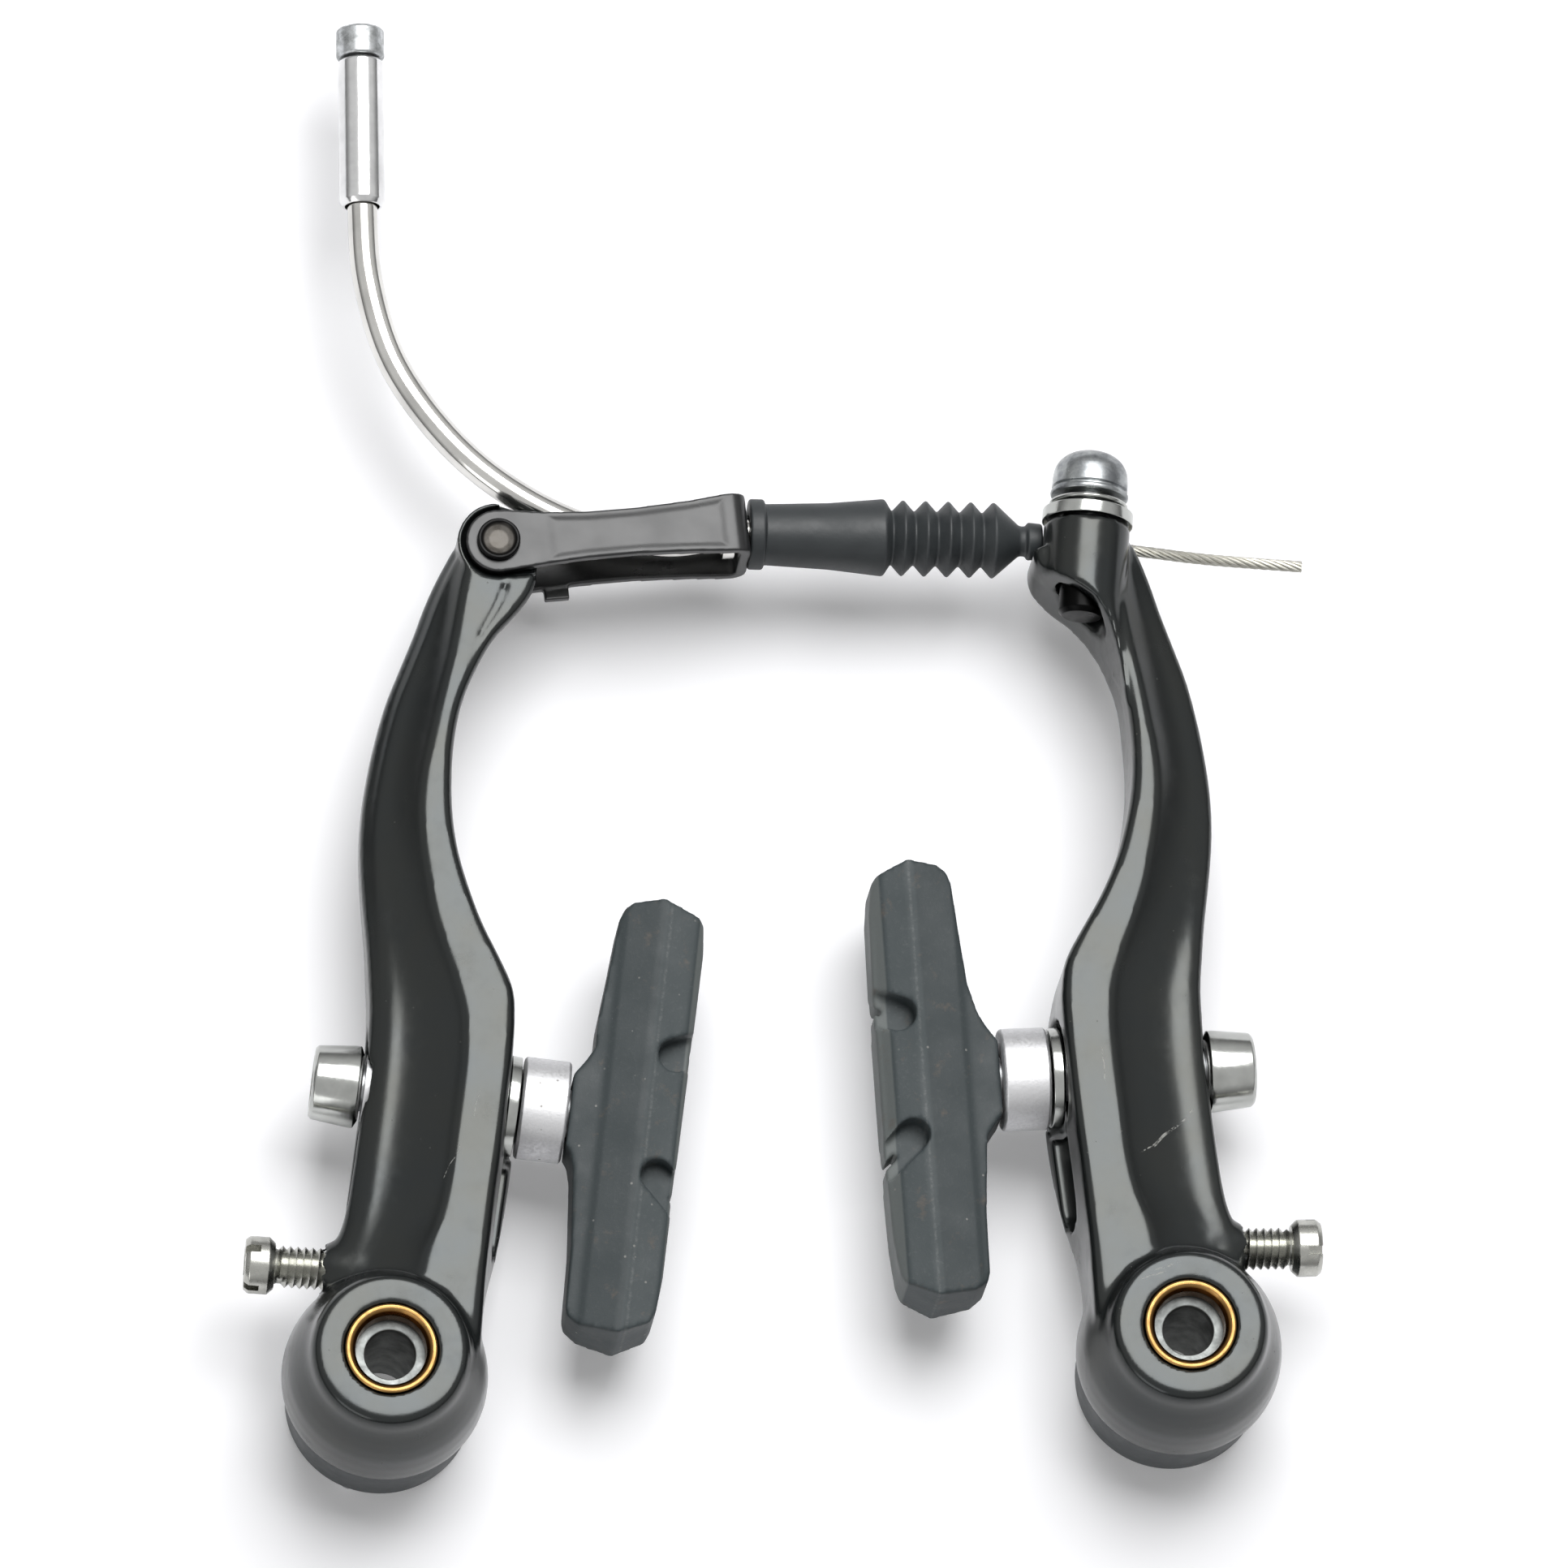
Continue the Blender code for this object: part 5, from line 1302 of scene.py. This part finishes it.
finished(stop, "end_stop_barrel", "cable_stop", "cable_end_stop", PAINT["stop"], own=stop)

# Boot
boot_from = axis_root + link_dir * (LINK_LENGTH + BOOT_START)
boot_to = Vector(BOOT_END)
boot_dir = (boot_to - boot_from).normalized()
boot_length = (boot_to - boot_from).length


def boot_profile(length):
    """Outer side of the boot from the arm end down to the flange, then the bore back up."""
    points = [(2.3, length + 0.35), (2.45, length - 1.5), (1.95, length - 1.8), (1.95, length - 2.6)]
    fold = length - 6.0
    for _ in range(FOLDS):
        points += [(FOLD_PEAK, fold), (FOLD_VALLEY, fold - FOLD_PITCH / 2)]
        fold -= FOLD_PITCH
    sleeve = fold + FOLD_PITCH / 2 - 1.0
    points += [(FOLD_PEAK, sleeve), (4.9, sleeve - 1.0), (4.3, sleeve - 7.0), (3.95, 1.9), (3.95, 1.6),
               (4.55, 1.35), (4.55, -0.5), (2.4, -0.5)]
    points += [(2.4, sleeve - 1.6), (1.85, sleeve + 1.0),
               (1.85, length - 7.0), (1.15, length - 4.5), (1.15, length + 0.35)]
    return points


boot = turned("boot", boot_profile(boot_length), 96, True, 0.35, location=boot_from, direction=boot_dir)
boot_piece = finished(boot, "bellows_boot", "link", "boot", PAINT["boot"], 50.0, own=boot)

# Anchor on the right arm
to_right = Matrix.Rotation(math.radians(RIGHT_LEAN), 3, "Z")
right_pivot = Vector((PIVOT_SPACING / 2, 0, 0))
barrel_low = right_pivot + to_right @ Vector((-BARREL_LOW[0], BARREL_LOW[1], BARREL_Z))
barrel_top = right_pivot + to_right @ Vector((-BARREL_TOP[0], BARREL_TOP[1], BARREL_Z))
barrel_up = (barrel_top - barrel_low).normalized()
across = Vector((barrel_up.y, -barrel_up.x, 0.0))
clamp = barrel_top - barrel_up * CABLE_DROP - Vector((0.0, 0.0, ANCHOR_SHANK + GAP + CABLE_RADIUS + 0.05))
ring_at = GAP + 1.6 + GAP
dome_at = ring_at + 1.2 + GAP
place = {"location": barrel_top, "direction": barrel_up}
washer = ring("anchor_washer", BARREL_RADIUS + 0.3, ANCHOR_SHANK + GAP, GAP, GAP + 1.6, 96, 0.12, **place)
finished(washer, "anchor_plate", "right_arm", "anchor_washer", PAINT["chrome"], own=washer)
collar = turned(
    "anchor_ring",
    [(3.6, ring_at + 1.1), (3.6, ring_at + 0.95), (4.95, ring_at + 0.9), (5.1, ring_at + 0.62),
     (4.95, ring_at + 0.34), (3.6, ring_at + 0.3), (3.6, ring_at + 0.1), (3.3, ring_at + 0.1),
     (3.3, ring_at + 1.1)],
    96, True, 0.1, **place,
)
finished(collar, "anchor_spring_ring", "right_arm", "anchor_ring", PAINT["chrome"], own=collar)
dome = [(0, dome_at + 6.2)]
for a in np.radians((82, 75, 67, 60, 52, 45, 37, 30, 22, 15, 7)):
    dome.append((1.1 + 3.7 * math.cos(a), dome_at + 2.9 + 3.3 * math.sin(a)))
dome += [
    (4.85, dome_at + 2.6), (4.9, dome_at + 1.35), (4.6, dome_at + 1.2), (4.6, dome_at + 0.9),
    (5.0, dome_at + 0.8), (5.05, dome_at + 0.4), (4.9, dome_at + 0.15), (ANCHOR_SHANK, dome_at + 0.15),
    (ANCHOR_SHANK, -11.6), (2.5, -12.2), (0, -12.2),
]
bolt = turned("anchor_bolt", dome, 96, soft=0.12, **place)
finished(bolt, "anchor_dome_bolt", "right_arm", "anchor_bolt", PAINT["anchor"], own=bolt)

# Cable, from the tube's tip to its cut tail
route = smooth_path(
    [
        tip_at + link_dir * 1.5,
        boot_from + boot_dir * boot_length * 0.38,
        boot_from + boot_dir * boot_length * 0.75,
        clamp - across * 6.2,
        clamp,
        clamp + across * 6.4,
        Vector((61.0, 105.85, 14.0)),
        Vector((73.1, 104.52, 14.0)),
    ],
    12,
)
line = bpy.data.meshes.new("cable_route")
steps = [(i, i + 1) for i in range(len(route) - 1)]
line.from_pydata([tuple(c * MM for c in co) for co in route], steps, [])
values = {"Strands": 7, "Lay": 9.0 * MM, "Circle": 0.51 * MM, "Wire": 0.24 * MM, "Step": 0.4 * MM,
          "Finish": PAINT["cable"]}
cable = grow("cable_strands", STRANDS, values, line)
core = wire("cable_core", route, 0.36, 2)
bm = bmesh.new()
bm.from_mesh(cable.data)
bm.from_mesh(core.data)
bm.to_mesh(cable.data)
bm.free()
finished(cable, "cable_strands", "right_arm", "inner_cable", PAINT["cable"])

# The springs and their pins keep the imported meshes
for word in ("left", "right"):
    for part in ("_return_spring", "_spring_pin"):
        node = frame["nodes"][word + part]
        node.data.materials.clear()
        node.data.materials.append(PAINT["steel"])

for obj in list(shop.objects):
    bpy.data.objects.remove(obj, do_unlink=True)

# Floor
floor_mesh = bpy.data.meshes.new("floor")
floor_mesh.from_pydata([(-3, -3, 0), (3, -3, 0), (3, 3, 0), (-3, 3, 0)], [], [(0, 1, 2, 3)])
floor = bpy.data.objects.new("floor", floor_mesh)
floor.location = (0.0, 0.0, -0.0001)
bpy.context.scene.collection.objects.link(floor)
paper = bpy.data.materials.new("white_paper")
paper.use_nodes = True
paper.node_tree.nodes.clear()
wires = Wires(paper.node_tree)
path = wires.node("ShaderNodeLightPath")
seen = wires.math("MAXIMUM", path["Is Camera Ray"], path["Is Glossy Ray"])
paper_tone = wires.node("ShaderNodeBsdfDiffuse", {"Color": (0.86, 0.86, 0.88)})[0]
glow = wires.math("MULTIPLY", seen, 0.22)
lift = wires.node("ShaderNodeEmission", {"Color": (1.0, 1.0, 1.0), "Strength": glow})[0]
both = wires.node("ShaderNodeAddShader", {0: paper_tone, 1: lift})[0]
wires.node("ShaderNodeOutputMaterial", {0: both})
floor_mesh.materials.append(paper)

# Light: the room looks white to the camera, brighter overhead in mirrors, and dim to all else
world = bpy.data.worlds.new("room")
bpy.context.scene.world = world
world.use_nodes = True
wires = Wires(world.node_tree)
path = wires.node("ShaderNodeLightPath")
ray = wires.split(wires.node("ShaderNodeNewGeometry")["Incoming"])
sky = wires.levels(wires.math("ABSOLUTE", ray[2]), 0.02, 0.5, 0.02, 0.6)
mirrored = wires.math("MULTIPLY_ADD", path["Is Glossy Ray"], sky, 0.1)
background = world.node_tree.nodes["Background"].inputs
wires.link((1.0, 1.0, 1.0), background["Color"])
wires.link(wires.math("MULTIPLY_ADD", path["Is Camera Ray"], 0.88, mirrored), background["Strength"])


def soft_box(name, aim, distance, size, power):
    lamp = bpy.data.lights.new(name, "AREA")
    lamp.shape = "RECTANGLE"
    lamp.size, lamp.size_y = size
    lamp.energy = power
    obj = bpy.data.objects.new(name, lamp)
    direction = Vector(aim).normalized()
    obj.location = direction * distance
    obj.rotation_euler = direction.to_track_quat("Z", "Y").to_euler()
    bpy.context.scene.collection.objects.link(obj)
    return obj


soft_box("window", (0.10, 0.33, 0.94), 1.5, (1.1, 0.98), 26.0)
soft_box("fill", (-0.6, -0.75, 0.35), 2.0, (1.2, 0.8), 5.0)

# Camera
right = Vector((0.9957, -0.0553, 0.088)).normalized()
up = Vector((0.0303, 0.9535, 0.300))
up = (up - right * up.dot(right)).normalized()
back = right.cross(up)
target = shift + Vector((4.6909, 77.6968, 12.0)) * MM
camera = bpy.data.objects.new("camera", bpy.data.cameras.new("camera"))
camera.data.sensor_width = 36.0
camera.data.lens = 351.0
camera.data.clip_end = 20.0
turn = Matrix((right, up, back)).transposed().to_4x4()
camera.matrix_world = Matrix.Translation(target + back * 1.96) @ turn
bpy.context.scene.collection.objects.link(camera)
bpy.context.scene.camera = camera
bpy.context.scene.view_settings.view_transform = "Standard"

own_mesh(boot_piece)
